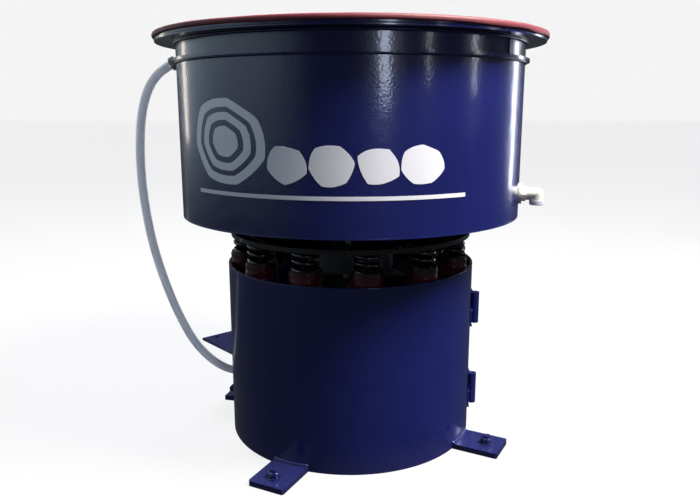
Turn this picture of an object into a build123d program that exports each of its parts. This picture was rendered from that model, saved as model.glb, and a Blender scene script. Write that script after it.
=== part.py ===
"""Round-bowl vibratory rock tumbler.

A welded steel bowl with a poured polyurethane lining stands on a ring of coil
springs inside the rim of a steel base drum.  A vertical vibrator motor hangs in
the bowl's centre tube and turns an eccentric weight at each end of its shaft.

Frame: millimetres, +Z up, origin on the floor under the drum's axis.  The front
is -Y and +X is to the right.  An azimuth is an angle seen from above, counted
from the front (-Y) towards +X.
"""

import os
from math import cos, degrees, pi, radians, sin, sqrt, tan

from build123d import *

# ---- Driving dimensions ------------------------------------------------------

# Base drum: a rolled tube, open at both ends.
drum_radius = 228.5
drum_height = 323.0
drum_wall = 4.0

# Bowl: a rolled skirt with a half-round trough round a centre tube.
bowl_radius = 305.0
bowl_wall = 4.0
bowl_depth = 295.0
skirt_gap = 32.0
tube_wall = 4.0
tube_drop = 64.0
trough_floor_gap = 9.5
lining = 9.0

# Rim: a flat flange, the lining turned out over it, and a hoop below it.
flange_width = 34.0
flange_thick = 6.0
rim_lining_lap = 3.9
hoop_height = 5.0
hoop_reach = 7.5
hoop_drop = 30.0

# Springs, between a ring shelf in the drum and a ring plate under the bowl.
spring_count = 12
spring_outer = 48.0
spring_height = 81.0
spring_edge = 5.5
spring_wire = 8.0
spring_turns = 5.5
spring_azimuth = 7.7
shelf_drop = 33.0
shelf_thick = 8.0
shelf_inside = 45.0
cup_floor = 4.0
cup_wall = 2.2
cup_height = 54.0
plate_thick = 8.0
plate_outside = 27.0

# Motor and its eccentric weights.
motor_radius = 80.0
motor_wall = 4.0
motor_length = 234.0
motor_hang = 53.0
motor_clear = 6.0
motor_flange_width = 48.0
motor_flange_thick = 12.0
motor_bolt_out = 32.0
motor_bolt_count = 8
shaft_radius = 14.0
shaft_below = 72.0
shaft_above = 68.0
stator_up = 66.0
stator_length = 120.0
core_radius = 45.0
bell_thick = 12.0
bearing_radius = 31.0
bearing_width = 18.0
lower_weight_radius = 104.0
lower_weight_thick = 24.0
lower_weight_gap = 34.0
upper_weight_clear = 10.0
upper_weight_thick = 28.0
upper_weight_gap = 26.0

# Feet: plates welded to the drum, each with a levelling screw in a welded nut.
foot_width = 66.0
foot_length = 79.5
foot_thick = 9.5
foot_corner = 4.0
foot_bolt_out = 51.5
foot_azimuths = (-26.5, 61.5, 152.0)
screw_radius = 6.0

# Rear-left corner: a wide foot with a tie-down lug above it.
corner_azimuth = -104.3
corner_out = 45.5
corner_from = -95.0
corner_to = -6.0
lug_out = 34.2
lug_from = -67.0
lug_bottom = 21.0
lug_thick = 9.0
lug_bolt_in = 13.7
lug_bolt_offset = -27.0

# Pump shelf on the drum, behind and to the left.
pump_azimuth = -138.7
pump_out = 56.5
pump_half_width = 166.0
pump_top = 126.0
pump_thick = 4.8
pump_hole_radius = 4.5
pump_hole_edge = 14.0
pump_hole_side = 27.0

# Access door, on two weld-on barrel hinges.
door_from = 92.0
door_to = 172.0
door_bottom = 22.0
door_under_rim = 45.0
door_thick = 3.0
door_lap = 12.0
door_gap = 1.0
hinge_azimuth = 88.0
hinge_out = 10.0
barrel_radius = 8.0
barrel_height = 60.0
hinge_pin_radius = 4.0
hinge_from_bottom = 42.0
hinge_from_top = 50.0

# Water fittings and hose.
hose_outer = 15.9
hose_bore = 9.5
inlet_radius = 7.0
inlet_azimuth = -90.0
inlet_hex = 3.0
inlet_nut_length = 10.0
inlet_bend = 13.0
drain_azimuth = 76.0
drain_up = 40.0
drain_pipe_radius = 10.0
drain_bore = 8.0
drain_out_length = 31.0
drain_drop = 19.0

# Named clearances.
running = 0.05
bolt_clear = 0.5
side_clear = 1.0
face_gap = 0.3

# The hose's route at these bowl and drum sizes, from the bowl's inlet to the drum's elbow.
route_bowl_radius = 305.0
route_bowl_top = 710.0
route_drum_radius = 228.5
elbow_azimuth = -130.0
laid_route = [
    (-323, 0, 678), (-341, 0, 668), (-358, 1, 651), (-370, 1, 629),
    (-379, 2, 603), (-385, 3, 572), (-389, 4, 534), (-391, 6, 484),
    (-388, 8, 424), (-380, 10, 358), (-365, 13, 290), (-342, 18, 215),
    (-313, 27, 145), (-278, 43, 97), (-252, 75, 67), (-229, 119, 46),
    (-207, 145, 46),
]

# ---- Sizes that follow from them ---------------------------------------------

drum_inner = drum_radius - drum_wall
shelf_top = drum_height - shelf_drop
shelf_bottom = shelf_top - shelf_thick
spring_circle = drum_inner - spring_outer / 2 - spring_edge
spring_seat = shelf_top + cup_floor
spring_bore = spring_outer - 2 * spring_wire
shelf_inner = spring_circle - shelf_inside
plate_bottom = spring_seat + spring_height
plate_top = plate_bottom + plate_thick
plate_radius = spring_circle + plate_outside
cup_inner = spring_outer / 2 + side_clear
cup_outer = cup_inner + cup_wall

tube_radius = motor_radius + motor_clear + tube_wall
bowl_inner = bowl_radius - bowl_wall
bowl_bottom = plate_top + skirt_gap
bowl_top = bowl_bottom + bowl_depth
trough_centre = (tube_radius + bowl_inner) / 2
trough_radius = (bowl_inner - tube_radius) / 2
trough_level = bowl_bottom + trough_floor_gap + trough_radius
trough_inner = trough_radius - bowl_wall
channel_radius = trough_inner - lining
tube_top = bowl_top - tube_drop
flange_radius = bowl_radius + flange_width
flange_top = bowl_top + flange_thick
rim_lining_radius = flange_radius + rim_lining_lap
rim_top = flange_top + lining
hoop_bottom = bowl_top - hoop_drop - hoop_height / 2
brackets_azimuth = spring_azimuth + 180 / spring_count

motor_bottom = plate_bottom - motor_hang
motor_top = motor_bottom + motor_length
motor_flange_bottom = plate_bottom - motor_flange_thick
motor_flange_radius = motor_radius + motor_flange_width
motor_bolt_circle = motor_radius + motor_bolt_out
shaft_bottom = motor_bottom - shaft_below
shaft_top = motor_top + shaft_above
stator_bottom = motor_bottom + stator_up
lower_weight_top = motor_bottom - lower_weight_gap
upper_weight_radius = tube_radius - tube_wall - upper_weight_clear
upper_weight_bottom = motor_top + upper_weight_gap

foot_reach = drum_radius + foot_length
foot_bolt_radius = drum_radius + foot_bolt_out
corner_reach = drum_radius + corner_out
lug_reach = drum_radius + lug_out
lug_bolt_radius = lug_reach - lug_bolt_in
pump_reach = drum_radius + pump_out
door_radius = drum_radius + door_gap
door_top = drum_height - door_under_rim
hinge_radius = drum_radius + hinge_out
hinge_heights = (door_bottom + hinge_from_bottom, door_top - hinge_from_top)
drain_height = bowl_bottom + drain_up
drain_reach = bowl_radius + drain_out_length
drain_outlet = drain_height - drain_drop

# The hose's upper end follows the bowl, and its lower end follows the drum.
drum_change = drum_radius - route_drum_radius
hose_route = []
for number, (x, y, z) in enumerate(laid_route):
    low = number / (len(laid_route) - 1)
    high = 1 - low
    hose_route.append((
        x - high * (bowl_radius - route_bowl_radius) + low * drum_change * sin(radians(elbow_azimuth)),
        y - low * drum_change * cos(radians(elbow_azimuth)),
        z + high * (bowl_top - route_bowl_top),
    ))


def radial_plane(azimuth, level=0.0):
    """A level plane whose x axis points outwards at this azimuth."""
    out = Vector(sin(radians(azimuth)), -cos(radians(azimuth)), 0)
    return Plane(origin=(0, 0, level), x_dir=out, z_dir=(0, 0, 1))


def upright_plane(azimuth):
    """An upright plane through the axis: x is the radius and y is the height."""
    out = Vector(sin(radians(azimuth)), -cos(radians(azimuth)), 0)
    return Plane(origin=(0, 0, 0), x_dir=out, z_dir=out.cross(Vector(0, 0, 1)))


def outward_plane(azimuth, radius, level):
    """A plane facing outwards at this azimuth, radius and height, with y up."""
    out = Vector(sin(radians(azimuth)), -cos(radians(azimuth)), 0)
    return Plane(
        origin=(radius * out.X, radius * out.Y, level),
        x_dir=Vector(0, 0, 1).cross(out),
        z_dir=out,
    )


def ring(outer, inner, bottom, height):
    """A flat ring or a tube about the z axis."""
    with BuildPart() as made:
        with BuildSketch(Plane.XY.offset(bottom)):
            Circle(outer)
            Circle(inner, mode=Mode.SUBTRACT)
        extrude(amount=height)
    return made.part


def disc(radius, bottom, height):
    """A round solid about the z axis."""
    with BuildPart() as made:
        with BuildSketch(Plane.XY.offset(bottom)):
            Circle(radius)
        extrude(amount=height)
    return made.part


def curved_panel(inner, outer, start, end, bottom, top):
    """A piece of tube wall between two azimuths and two heights."""
    turn = end - start
    with BuildPart() as made:
        with BuildSketch(Plane.XY.offset(bottom)):
            with BuildLine():
                far = CenterArc((0, 0), outer, start - 90, turn)
                near = CenterArc((0, 0), inner, start - 90, turn)
                Line(far @ 0, near @ 0)
                Line(far @ 1, near @ 1)
            make_face()
        extrude(amount=top - bottom)
    return made.part


def bolt(shank_radius, shank_length, head_radius, head_height):
    """A hex-head bolt with its shank hanging down from the origin."""
    with BuildPart() as made:
        with BuildSketch():
            RegularPolygon(head_radius, 6)
        extrude(amount=head_height)
        with BuildSketch():
            Circle(shank_radius)
        extrude(amount=-shank_length)
    return made.part


def nut(bore_radius, head_radius, height):
    """A hex nut standing on the origin."""
    with BuildPart() as made:
        with BuildSketch():
            RegularPolygon(head_radius, 6)
            Circle(bore_radius, mode=Mode.SUBTRACT)
        extrude(amount=height)
    return made.part


def on_circle(radius, azimuths, level):
    """Places on a circle, each turned so that its x axis points outwards."""
    return Locations(*[
        Location(radial_plane(azimuth, level)) * Location((radius, 0, 0))
        for azimuth in azimuths
    ])


spring_azimuths = [spring_azimuth + 360 / spring_count * i for i in range(spring_count)]
bracket_azimuths = [brackets_azimuth + 60 * i for i in range(6)]
motor_bolt_azimuths = [360 / motor_bolt_count * i for i in range(motor_bolt_count)]

made_parts = {}


def finish_part(name, solid):
    """Label a finished piece and write it."""
    solid.label = name
    export_step(solid, f"parts/{name}.step")
    made_parts[name] = solid


os.makedirs("parts", exist_ok=True)

# ---- Base drum ---------------------------------------------------------------

opening_from = door_from + degrees(door_lap / drum_radius) + 1.0
opening_to = door_to - degrees(door_lap / drum_radius)
elbow_height = hose_route[-1][2]
elbow_radius = 9.0
gland_azimuth = 186.0
gland_height = 52.0
gland_radius = 9.0

# The rolled tube, with the door opening and holes for the elbow and the gland.
with BuildPart() as base_drum:
    add(ring(drum_radius, drum_inner, 0, drum_height))
    add(
        curved_panel(
            drum_inner - 5, drum_radius + 5, opening_from, opening_to,
            door_bottom + door_lap, door_top - door_lap,
        ),
        mode=Mode.SUBTRACT,
    )
    with BuildSketch(outward_plane(elbow_azimuth, drum_inner - 5, elbow_height)):
        Circle(elbow_radius)
    extrude(amount=drum_wall + 10, mode=Mode.SUBTRACT)
    with BuildSketch(outward_plane(gland_azimuth, drum_inner - 5, gland_height)):
        Circle(gland_radius)
    extrude(amount=drum_wall + 10, mode=Mode.SUBTRACT)
finish_part("base_drum", base_drum.part)

# The ring shelf that the springs stand on, welded inside the drum.
cup_bolt_radius = 4.0
with BuildPart() as spring_shelf:
    add(ring(drum_inner, shelf_inner, shelf_bottom, shelf_thick))
    with on_circle(spring_circle, spring_azimuths, shelf_top):
        Hole(cup_bolt_radius + bolt_clear, depth=shelf_thick)
finish_part("spring_shelf", spring_shelf.part)

# Six triangular brackets hold the shelf to the drum wall.
bracket_thick = 6.0
bracket_drop = 40.0
with BuildPart() as shelf_brackets:
    for azimuth in bracket_azimuths:
        with BuildSketch(upright_plane(azimuth)):
            with BuildLine():
                Polyline(
                    (shelf_inner + 8, shelf_bottom),
                    (drum_radius, shelf_bottom),
                    (drum_radius, shelf_bottom - bracket_drop),
                    (drum_inner - 10, shelf_bottom - bracket_drop),
                    close=True,
                )
            make_face()
        extrude(amount=bracket_thick / 2, both=True)
    add(disc(drum_inner, 0, drum_height), mode=Mode.INTERSECT)
finish_part("shelf_brackets", shelf_brackets.part)

# ---- Feet --------------------------------------------------------------------

drum_solid = disc(drum_radius, -1, drum_height)

# Three flat plates, cut to the drum's curve.
with BuildPart() as foot_plates:
    for azimuth in foot_azimuths:
        with BuildSketch(radial_plane(azimuth)):
            with Locations(((drum_inner + foot_reach) / 2 - 10, 0)):
                Rectangle(foot_reach - drum_inner + 20, foot_width)
        extrude(amount=foot_thick)
    fillet(
        foot_plates.edges().filter_by(Axis.Z).filter_by(
            lambda edge: Vector(edge.center().X, edge.center().Y).length > foot_bolt_radius
        ),
        radius=foot_corner,
    )
    with on_circle(foot_bolt_radius, foot_azimuths, foot_thick):
        Hole(screw_radius + bolt_clear, depth=foot_thick)
    add(drum_solid, mode=Mode.SUBTRACT)
finish_part("foot_plates", foot_plates.part)

# The wide corner plate lies on the floor with one rounded corner.
corner_round = 34.0
corner_screw = corner_reach - 28.0
corner_screw_offset = -80.0
with BuildPart() as corner_foot:
    with BuildSketch(radial_plane(corner_azimuth)):
        with BuildLine():
            Polyline(
                (corner_reach - 120, corner_from), (corner_reach, corner_from),
                (corner_reach, corner_to), (corner_reach - 120, corner_to),
                close=True,
            )
        make_face()
    extrude(amount=foot_thick)
    fillet(
        corner_foot.edges().filter_by(Axis.Z).sort_by_distance(
            radial_plane(corner_azimuth).from_local_coords((corner_reach, corner_from, 0))
        )[0],
        radius=corner_round,
    )
    with Locations(radial_plane(corner_azimuth, foot_thick)):
        with Locations((corner_screw, corner_screw_offset)):
            Hole(screw_radius + bolt_clear, depth=foot_thick)
        with Locations((lug_bolt_radius, lug_bolt_offset)):
            Hole(screw_radius + bolt_clear, depth=foot_thick)
    add(drum_solid, mode=Mode.SUBTRACT)
finish_part("corner_foot", corner_foot.part)

# The tie-down lug stands above the corner plate.
with BuildPart() as tie_down_lug:
    with BuildSketch(radial_plane(corner_azimuth, lug_bottom)):
        with Locations(((lug_reach + 150) / 2, (lug_from + corner_to) / 2)):
            Rectangle(lug_reach - 150, corner_to - lug_from)
    extrude(amount=lug_thick)
    with Locations(radial_plane(corner_azimuth, lug_bottom + lug_thick)):
        with Locations((lug_bolt_radius, lug_bolt_offset)):
            Hole(screw_radius + bolt_clear, depth=lug_thick)
    add(drum_solid, mode=Mode.SUBTRACT)
finish_part("tie_down_lug", tie_down_lug.part)

washer_radius = 13.0
washer_thick = 2.0
nut_radius = 10.9
nut_height = 9.0
screw_above = 4.0
foot_places = [
    Location(radial_plane(azimuth, foot_thick)) * Location((foot_bolt_radius, 0, 0))
    for azimuth in foot_azimuths
] + [
    Location(radial_plane(corner_azimuth, foot_thick))
    * Location((corner_screw, corner_screw_offset, 0))
]

# A washer, a nut and a levelling screw at each foot; the screw's end is at the floor.
with BuildPart() as foot_washers:
    with Locations(*foot_places):
        add(ring(washer_radius, screw_radius + bolt_clear, 0, washer_thick))
finish_part("foot_washers", foot_washers.part)

# The same nut is used under the tie-down lug.
lug_place = (
    Location(radial_plane(corner_azimuth, lug_bottom + lug_thick))
    * Location((lug_bolt_radius, lug_bolt_offset, 0))
)
nut_places = [place * Location((0, 0, washer_thick)) for place in foot_places]
nut_places.append(lug_place * Location((0, 0, -lug_thick - nut_height)))
with BuildPart() as foot_nuts:
    with Locations(*nut_places):
        add(nut(screw_radius + running, nut_radius, nut_height))
finish_part("foot_nuts", foot_nuts.part)

screw_length = foot_thick + washer_thick + nut_height + screw_above
with BuildPart() as levelling_screws:
    with Locations(*[place * Location((0, 0, -foot_thick)) for place in foot_places]):
        add(disc(screw_radius, 0, screw_length))
finish_part("levelling_screws", levelling_screws.part)

# One long bolt ties the lug down to the corner plate.
with BuildPart() as tie_down_bolt:
    with Locations(lug_place):
        add(bolt(screw_radius, lug_bottom + lug_thick, nut_radius, 7.5))
finish_part("tie_down_bolt", tie_down_bolt.part)

# ---- Pump shelf --------------------------------------------------------------

pump_hole_row = pump_reach - pump_hole_edge
pump_hole_side_at = pump_half_width - pump_hole_side
pump_bottom = pump_top - pump_thick

# A plate welded level to the drum, with a hole near each outer corner.
with BuildPart() as pump_shelf:
    with BuildSketch(radial_plane(pump_azimuth, pump_bottom)):
        with Locations((pump_reach / 2 + 40, 0)):
            Rectangle(pump_reach - 80, 2 * pump_half_width)
    extrude(amount=pump_thick)
    with Locations(radial_plane(pump_azimuth, pump_top)):
        with Locations((pump_hole_row, pump_hole_side_at), (pump_hole_row, -pump_hole_side_at)):
            Hole(pump_hole_radius, depth=pump_thick)
    add(drum_solid, mode=Mode.SUBTRACT)
finish_part("pump_shelf", pump_shelf.part)

# Two small gussets under it.
gusset_side = 60.0
gusset_drop = 36.0
with BuildPart() as pump_shelf_gussets:
    for side in (-gusset_side, gusset_side):
        upright = upright_plane(pump_azimuth)
        with BuildSketch(upright.offset(side)):
            with BuildLine():
                Polyline(
                    (pump_reach - 120, pump_bottom), (pump_reach - 20, pump_bottom),
                    (drum_radius + 4, pump_bottom - gusset_drop),
                    (pump_reach - 120, pump_bottom - gusset_drop),
                    close=True,
                )
            make_face()
        extrude(amount=pump_thick / 2, both=True)
    add(drum_solid, mode=Mode.SUBTRACT)
finish_part("pump_shelf_gussets", pump_shelf_gussets.part)

# ---- Door, hinges and catch --------------------------------------------------

door_outer = door_radius + door_thick
leaf_thick = 3.0
hinge_x = hinge_radius * sin(radians(hinge_azimuth))
hinge_y = -hinge_radius * cos(radians(hinge_azimuth))
half_barrel = barrel_height / 2

with BuildPart() as access_door:
    add(curved_panel(door_radius, door_outer, door_from, door_to, door_bottom, door_top))
finish_part("access_door", access_door.part)


def knuckle(bottom, height, leaf_inner, leaf_from, leaf_to, bore):
    """A barrel with a curved leaf that is welded to the drum or to the door."""
    with BuildPart() as made:
        add(curved_panel(
            leaf_inner, leaf_inner + leaf_thick, leaf_from, leaf_to, bottom, bottom + height
        ))
        with BuildSketch(radial_plane(hinge_azimuth, bottom)):
            with Locations((hinge_radius, 0)):
                Circle(barrel_radius)
        extrude(amount=height)
        with BuildSketch(radial_plane(hinge_azimuth, bottom)):
            with Locations((hinge_radius, 0)):
                Circle(bore)
        extrude(amount=height, mode=Mode.SUBTRACT)
    return made.part


# The lower half of each hinge is welded to the drum, in front of the door's edge.
with BuildPart() as hinge_base_knuckles:
    for level in hinge_heights:
        add(knuckle(
            level - half_barrel, half_barrel - face_gap, drum_radius, hinge_azimuth - 6.0,
            hinge_azimuth + 1.2, hinge_pin_radius,
        ))
finish_part("hinge_base_knuckles", hinge_base_knuckles.part)

# The upper half turns with the door.
with BuildPart() as hinge_door_knuckles:
    for level in hinge_heights:
        add(knuckle(
            level, half_barrel, door_outer, hinge_azimuth - 1.0, hinge_azimuth + 9.0,
            hinge_pin_radius + running,
        ))
finish_part("hinge_door_knuckles", hinge_door_knuckles.part)

pin_height = barrel_height - 1.0
with BuildPart() as hinge_pins:
    for level in hinge_heights:
        with BuildSketch(radial_plane(hinge_azimuth, level - half_barrel)):
            with Locations((hinge_radius, 0)):
                Circle(hinge_pin_radius)
        extrude(amount=pin_height)
finish_part("hinge_pins", hinge_pins.part)

# A bent-rod pull near the door's free edge.
handle_azimuth = 163.0
handle_level = 150.0
handle_span = 90.0
handle_reach = 26.0
handle_rod = 4.0
with BuildPart() as door_handle:
    with BuildLine(upright_plane(handle_azimuth)):
        FilletPolyline(
            (door_outer - 0.2, handle_level - handle_span / 2),
            (door_outer + handle_reach, handle_level - handle_span / 2),
            (door_outer + handle_reach, handle_level + handle_span / 2),
            (door_outer - 0.2, handle_level + handle_span / 2),
            radius=10,
        )
    with BuildSketch(outward_plane(handle_azimuth, door_outer - 0.2, handle_level - handle_span / 2)):
        Circle(handle_rod)
    sweep()
    add(disc(door_outer, door_bottom, door_top - door_bottom), mode=Mode.SUBTRACT)
finish_part("door_handle", door_handle.part)

# A magnetic catch stands on the edge of the opening and holds the door shut.
magnet_depth = 14.0
magnet_width = 3.4
magnet_height = 46.0
with BuildPart() as door_magnet:
    add(curved_panel(
        drum_radius - magnet_depth, door_radius - face_gap,
        opening_to - magnet_width, opening_to,
        handle_level - magnet_height / 2, handle_level + magnet_height / 2,
    ))
finish_part("door_magnet", door_magnet.part)

# ---- Cable gland and hose elbow on the drum ----------------------------------

with BuildPart() as cable_gland:
    with BuildSketch(outward_plane(gland_azimuth, drum_inner - 10, gland_height)):
        Circle(gland_radius - 0.2)
    extrude(amount=drum_wall + 30)
    with BuildSketch(outward_plane(gland_azimuth, drum_radius, gland_height)):
        RegularPolygon(13, 6)
    extrude(amount=8)
    with BuildSketch(outward_plane(gland_azimuth, drum_inner - 9, gland_height)):
        RegularPolygon(13, 6)
    extrude(amount=8)
    with BuildSketch(outward_plane(gland_azimuth, drum_inner - 10, gland_height)):
        Circle(5)
    extrude(amount=drum_wall + 30, mode=Mode.SUBTRACT)
    add(base_drum.part, mode=Mode.SUBTRACT)
finish_part("cable_gland", cable_gland.part)

hose_end = Vector(*hose_route[-1])
hose_end_way = (hose_end - Vector(*hose_route[-2])).normalized()
elbow_out = Vector(sin(radians(elbow_azimuth)), -cos(radians(elbow_azimuth)), 0)
elbow_corner = hose_end + hose_end_way * 24
elbow_root = elbow_out * (drum_inner - 8) + Vector(0, 0, elbow_height)

# The elbow comes out of the drum wall and turns to meet the hose.
with BuildPart() as return_elbow:
    with BuildSketch(outward_plane(elbow_azimuth, drum_inner - 8, elbow_height)):
        Circle(elbow_radius - 0.2)
    extrude(amount=(elbow_corner - elbow_root).length)
    with BuildSketch(Plane(origin=hose_end, z_dir=hose_end_way)):
        Circle(elbow_radius - 0.2)
    extrude(amount=24)
    with Locations(elbow_corner):
        Sphere(elbow_radius - 0.2)
    with BuildSketch(outward_plane(elbow_azimuth, drum_radius, elbow_height)):
        Circle(14)
    extrude(amount=5)
    with BuildSketch(Plane(origin=hose_end, z_dir=hose_end_way)):
        Circle(11.5)
    extrude(amount=11)
    add(base_drum.part, mode=Mode.SUBTRACT)
finish_part("return_elbow", return_elbow.part)

# ---- Springs and their seats -------------------------------------------------

# A ribbed polyurethane cup holds the foot of each spring.
rib_proud = 1.6
rib_height = 5.0
rib_count = 4
rib_step = (cup_height - cup_floor - rib_height) / rib_count
with BuildPart() as one_cup:
    add(disc(cup_outer, 0, cup_height))
    for rib in range(rib_count):
        add(disc(cup_outer + rib_proud, cup_floor + rib_step * (rib + 0.6), rib_height))
    add(disc(cup_inner, cup_floor, cup_height), mode=Mode.SUBTRACT)
    add(disc(cup_bolt_radius + bolt_clear, 0, cup_floor), mode=Mode.SUBTRACT)
with BuildPart() as spring_cups:
    with on_circle(spring_circle, spring_azimuths, shelf_top):
        add(one_cup.part)
finish_part("spring_cups", spring_cups.part)

# A bolt through each cup and the shelf, with its nut underneath.
cup_nut_height = 6.0
with BuildPart() as one_cup_bolt:
    add(bolt(cup_bolt_radius, cup_floor + shelf_thick + cup_nut_height + 3, 7.5, 5.3))
with BuildPart() as cup_bolts:
    with on_circle(spring_circle, spring_azimuths, spring_seat):
        add(one_cup_bolt.part)
finish_part("cup_bolts", cup_bolts.part)

with BuildPart() as cup_nuts:
    with on_circle(spring_circle, spring_azimuths, shelf_bottom - cup_nut_height):
        add(nut(cup_bolt_radius + running, 7.5, cup_nut_height))
finish_part("cup_nuts", cup_nuts.part)

# Coil springs: round wire, standing in the cups and pressed by the ring plate.
wire_radius = spring_wire / 2
coil_radius = spring_outer / 2 - wire_radius
coil_rise = plate_bottom - spring_seat - spring_wire - 2 * running
with BuildPart() as one_spring:
    with BuildLine() as coil:
        Helix(
            pitch=coil_rise / spring_turns, height=coil_rise, radius=coil_radius,
            center=(0, 0, wire_radius + running),
        )
    with BuildSketch(Plane(origin=coil.line @ 0, z_dir=coil.line % 0)):
        Circle(wire_radius)
    sweep(is_frenet=True)
with BuildPart() as springs:
    with on_circle(spring_circle, spring_azimuths, spring_seat):
        add(one_spring.part)
finish_part("springs", springs.part)

# A short plug under the ring plate centres the top of each spring.
plug_height = 9.0
with BuildPart() as spring_plugs:
    with on_circle(spring_circle, spring_azimuths, plate_bottom - plug_height):
        add(disc(spring_bore / 2 - side_clear, 0, plug_height))
finish_part("spring_plugs", spring_plugs.part)

# ---- Bowl --------------------------------------------------------------------

motor_bolt_hole = 6.0 + bolt_clear
hose_start = Vector(*hose_route[0])
inlet_way = (Vector(*hose_route[1]) - hose_start).normalized()
inlet_knee = hose_start - inlet_way * inlet_bend
inlet_height = inlet_knee.Z

# The skirt, with holes for the inlet and the drain.
with BuildPart() as bowl_shell:
    add(ring(bowl_radius, bowl_inner, bowl_bottom, bowl_top - bowl_bottom))
    with BuildSketch(outward_plane(inlet_azimuth, bowl_inner - 5, inlet_height)):
        Circle(inlet_radius)
    extrude(amount=bowl_wall + 10, mode=Mode.SUBTRACT)
    with BuildSketch(outward_plane(drain_azimuth, bowl_inner - 5, drain_height)):
        Circle(drain_pipe_radius)
    extrude(amount=bowl_wall + 10, mode=Mode.SUBTRACT)
finish_part("bowl_shell", bowl_shell.part)


def half_round(radius):
    """The lower half of the channel's section, as a full ring about the axis."""
    with BuildPart() as made:
        with BuildSketch(Plane.XZ):
            with Locations((trough_centre, trough_level)):
                Circle(radius)
                with Locations((0, radius)):
                    Rectangle(2 * radius + 2, 2 * radius, mode=Mode.SUBTRACT)
        revolve(axis=Axis.Z)
    return made.part


# The half-round trough joins the skirt to the centre tube.
with BuildPart() as bowl_trough:
    add(half_round(trough_radius))
    add(half_round(trough_inner), mode=Mode.SUBTRACT)
    with BuildSketch(outward_plane(drain_azimuth, trough_centre, drain_height)):
        Circle(drain_pipe_radius)
    extrude(amount=bowl_radius - trough_centre, mode=Mode.SUBTRACT)
finish_part("bowl_trough", bowl_trough.part)

# The ring plate under the bowl presses on the springs and carries the motor.
with BuildPart() as spring_plate:
    add(ring(plate_radius, tube_radius - tube_wall, plate_bottom, plate_thick))
    with on_circle(motor_bolt_circle, motor_bolt_azimuths, plate_top):
        Hole(motor_bolt_hole, depth=plate_thick)
finish_part("spring_plate", spring_plate.part)

# The centre tube stands on the ring plate and is closed by a ring at the top.
cap_screw_circle = tube_radius - 14.0
cap_screw_radius = 4.0
cap_screw_count = 4
cap_azimuths = [45 + 360 / cap_screw_count * i for i in range(cap_screw_count)]
ring_inner = tube_radius - 26.0
ring_thick = 6.0
with BuildPart() as centre_tube:
    add(ring(tube_radius, tube_radius - tube_wall, plate_top, tube_top - plate_top))
    add(ring(tube_radius - tube_wall, ring_inner, tube_top - ring_thick, ring_thick))
    with on_circle(cap_screw_circle, cap_azimuths, tube_top):
        Hole(cap_screw_radius + running, depth=ring_thick)
finish_part("centre_tube", centre_tube.part)

# Six gussets fill the space between plate, tube, trough and skirt.
gusset_thick = 6.0
gusset_reach = bowl_inner - 10.0
with BuildPart() as bowl_gussets:
    for azimuth in bracket_azimuths:
        with BuildSketch(upright_plane(azimuth)):
            with BuildLine():
                Polyline(
                    (tube_radius, plate_top), (plate_radius - 2, plate_top),
                    (gusset_reach, bowl_bottom + 5), (bowl_inner, bowl_bottom + 5),
                    (bowl_inner, trough_level - 40), (tube_radius, trough_level - 40),
                    close=True,
                )
            make_face()
            with Locations((trough_centre, trough_level)):
                Circle(trough_radius, mode=Mode.SUBTRACT)
        extrude(amount=gusset_thick / 2, both=True)
    add(ring(tube_radius, 0.5, plate_top - 1, tube_top - plate_top), mode=Mode.SUBTRACT)
    add(half_round(trough_radius), mode=Mode.SUBTRACT)
    add(disc(bowl_inner, plate_top, trough_level), mode=Mode.INTERSECT)
finish_part("bowl_gussets", bowl_gussets.part)

# A hoop stiffens the skirt below the rim, cut away at the water inlet.
hoop_notch = 15.0
with BuildPart() as hoop_ring:
    add(ring(bowl_radius + hoop_reach, bowl_radius, hoop_bottom, hoop_height))
    with BuildSketch(outward_plane(inlet_azimuth, bowl_radius - 5, inlet_height)):
        Circle(hoop_notch)
    extrude(amount=hoop_reach + 15, mode=Mode.SUBTRACT)
finish_part("hoop_ring", hoop_ring.part)

with BuildPart() as rim_flange:
    add(ring(flange_radius, bowl_inner, bowl_top, flange_thick))
finish_part("rim_flange", rim_flange.part)

# The lining is one pour in the real bowl. It is kept as three simple pieces: the wall
# with its rim, and the outer and inner halves of the channel.
channel_top_radius = trough_centre + channel_radius + 4
post_top_radius = tube_radius + lining - 2
with BuildPart() as lining_wall:
    with BuildSketch(Plane.XZ):
        with BuildLine():
            Polyline(
                (bowl_inner, trough_level), (bowl_inner, flange_top),
                (rim_lining_radius, flange_top), (rim_lining_radius, rim_top - 3),
                (rim_lining_radius - 3, rim_top), (channel_top_radius + 6, rim_top),
                (channel_top_radius, rim_top - 6), (trough_centre + channel_radius, trough_level),
                close=True,
            )
        make_face()
    revolve(axis=Axis.Z)
    with BuildSketch(outward_plane(inlet_azimuth, trough_centre, inlet_height)):
        Circle(inlet_radius)
    extrude(amount=bowl_radius - trough_centre, mode=Mode.SUBTRACT)
finish_part("lining_wall", lining_wall.part)

with BuildPart() as lining_channel_outer:
    with BuildSketch(Plane.XZ):
        with BuildLine():
            outer_arc = CenterArc((trough_centre, trough_level), trough_inner, 0, -90)
            inner_arc = CenterArc((trough_centre, trough_level), channel_radius, 0, -90)
            Line(outer_arc @ 0, inner_arc @ 0)
            Line(outer_arc @ 1, inner_arc @ 1)
        make_face()
    revolve(axis=Axis.Z)
    with BuildSketch(outward_plane(drain_azimuth, trough_centre, drain_height)):
        Circle(drain_pipe_radius)
    extrude(amount=bowl_radius - trough_centre, mode=Mode.SUBTRACT)
finish_part("lining_channel_outer", lining_channel_outer.part)

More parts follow.
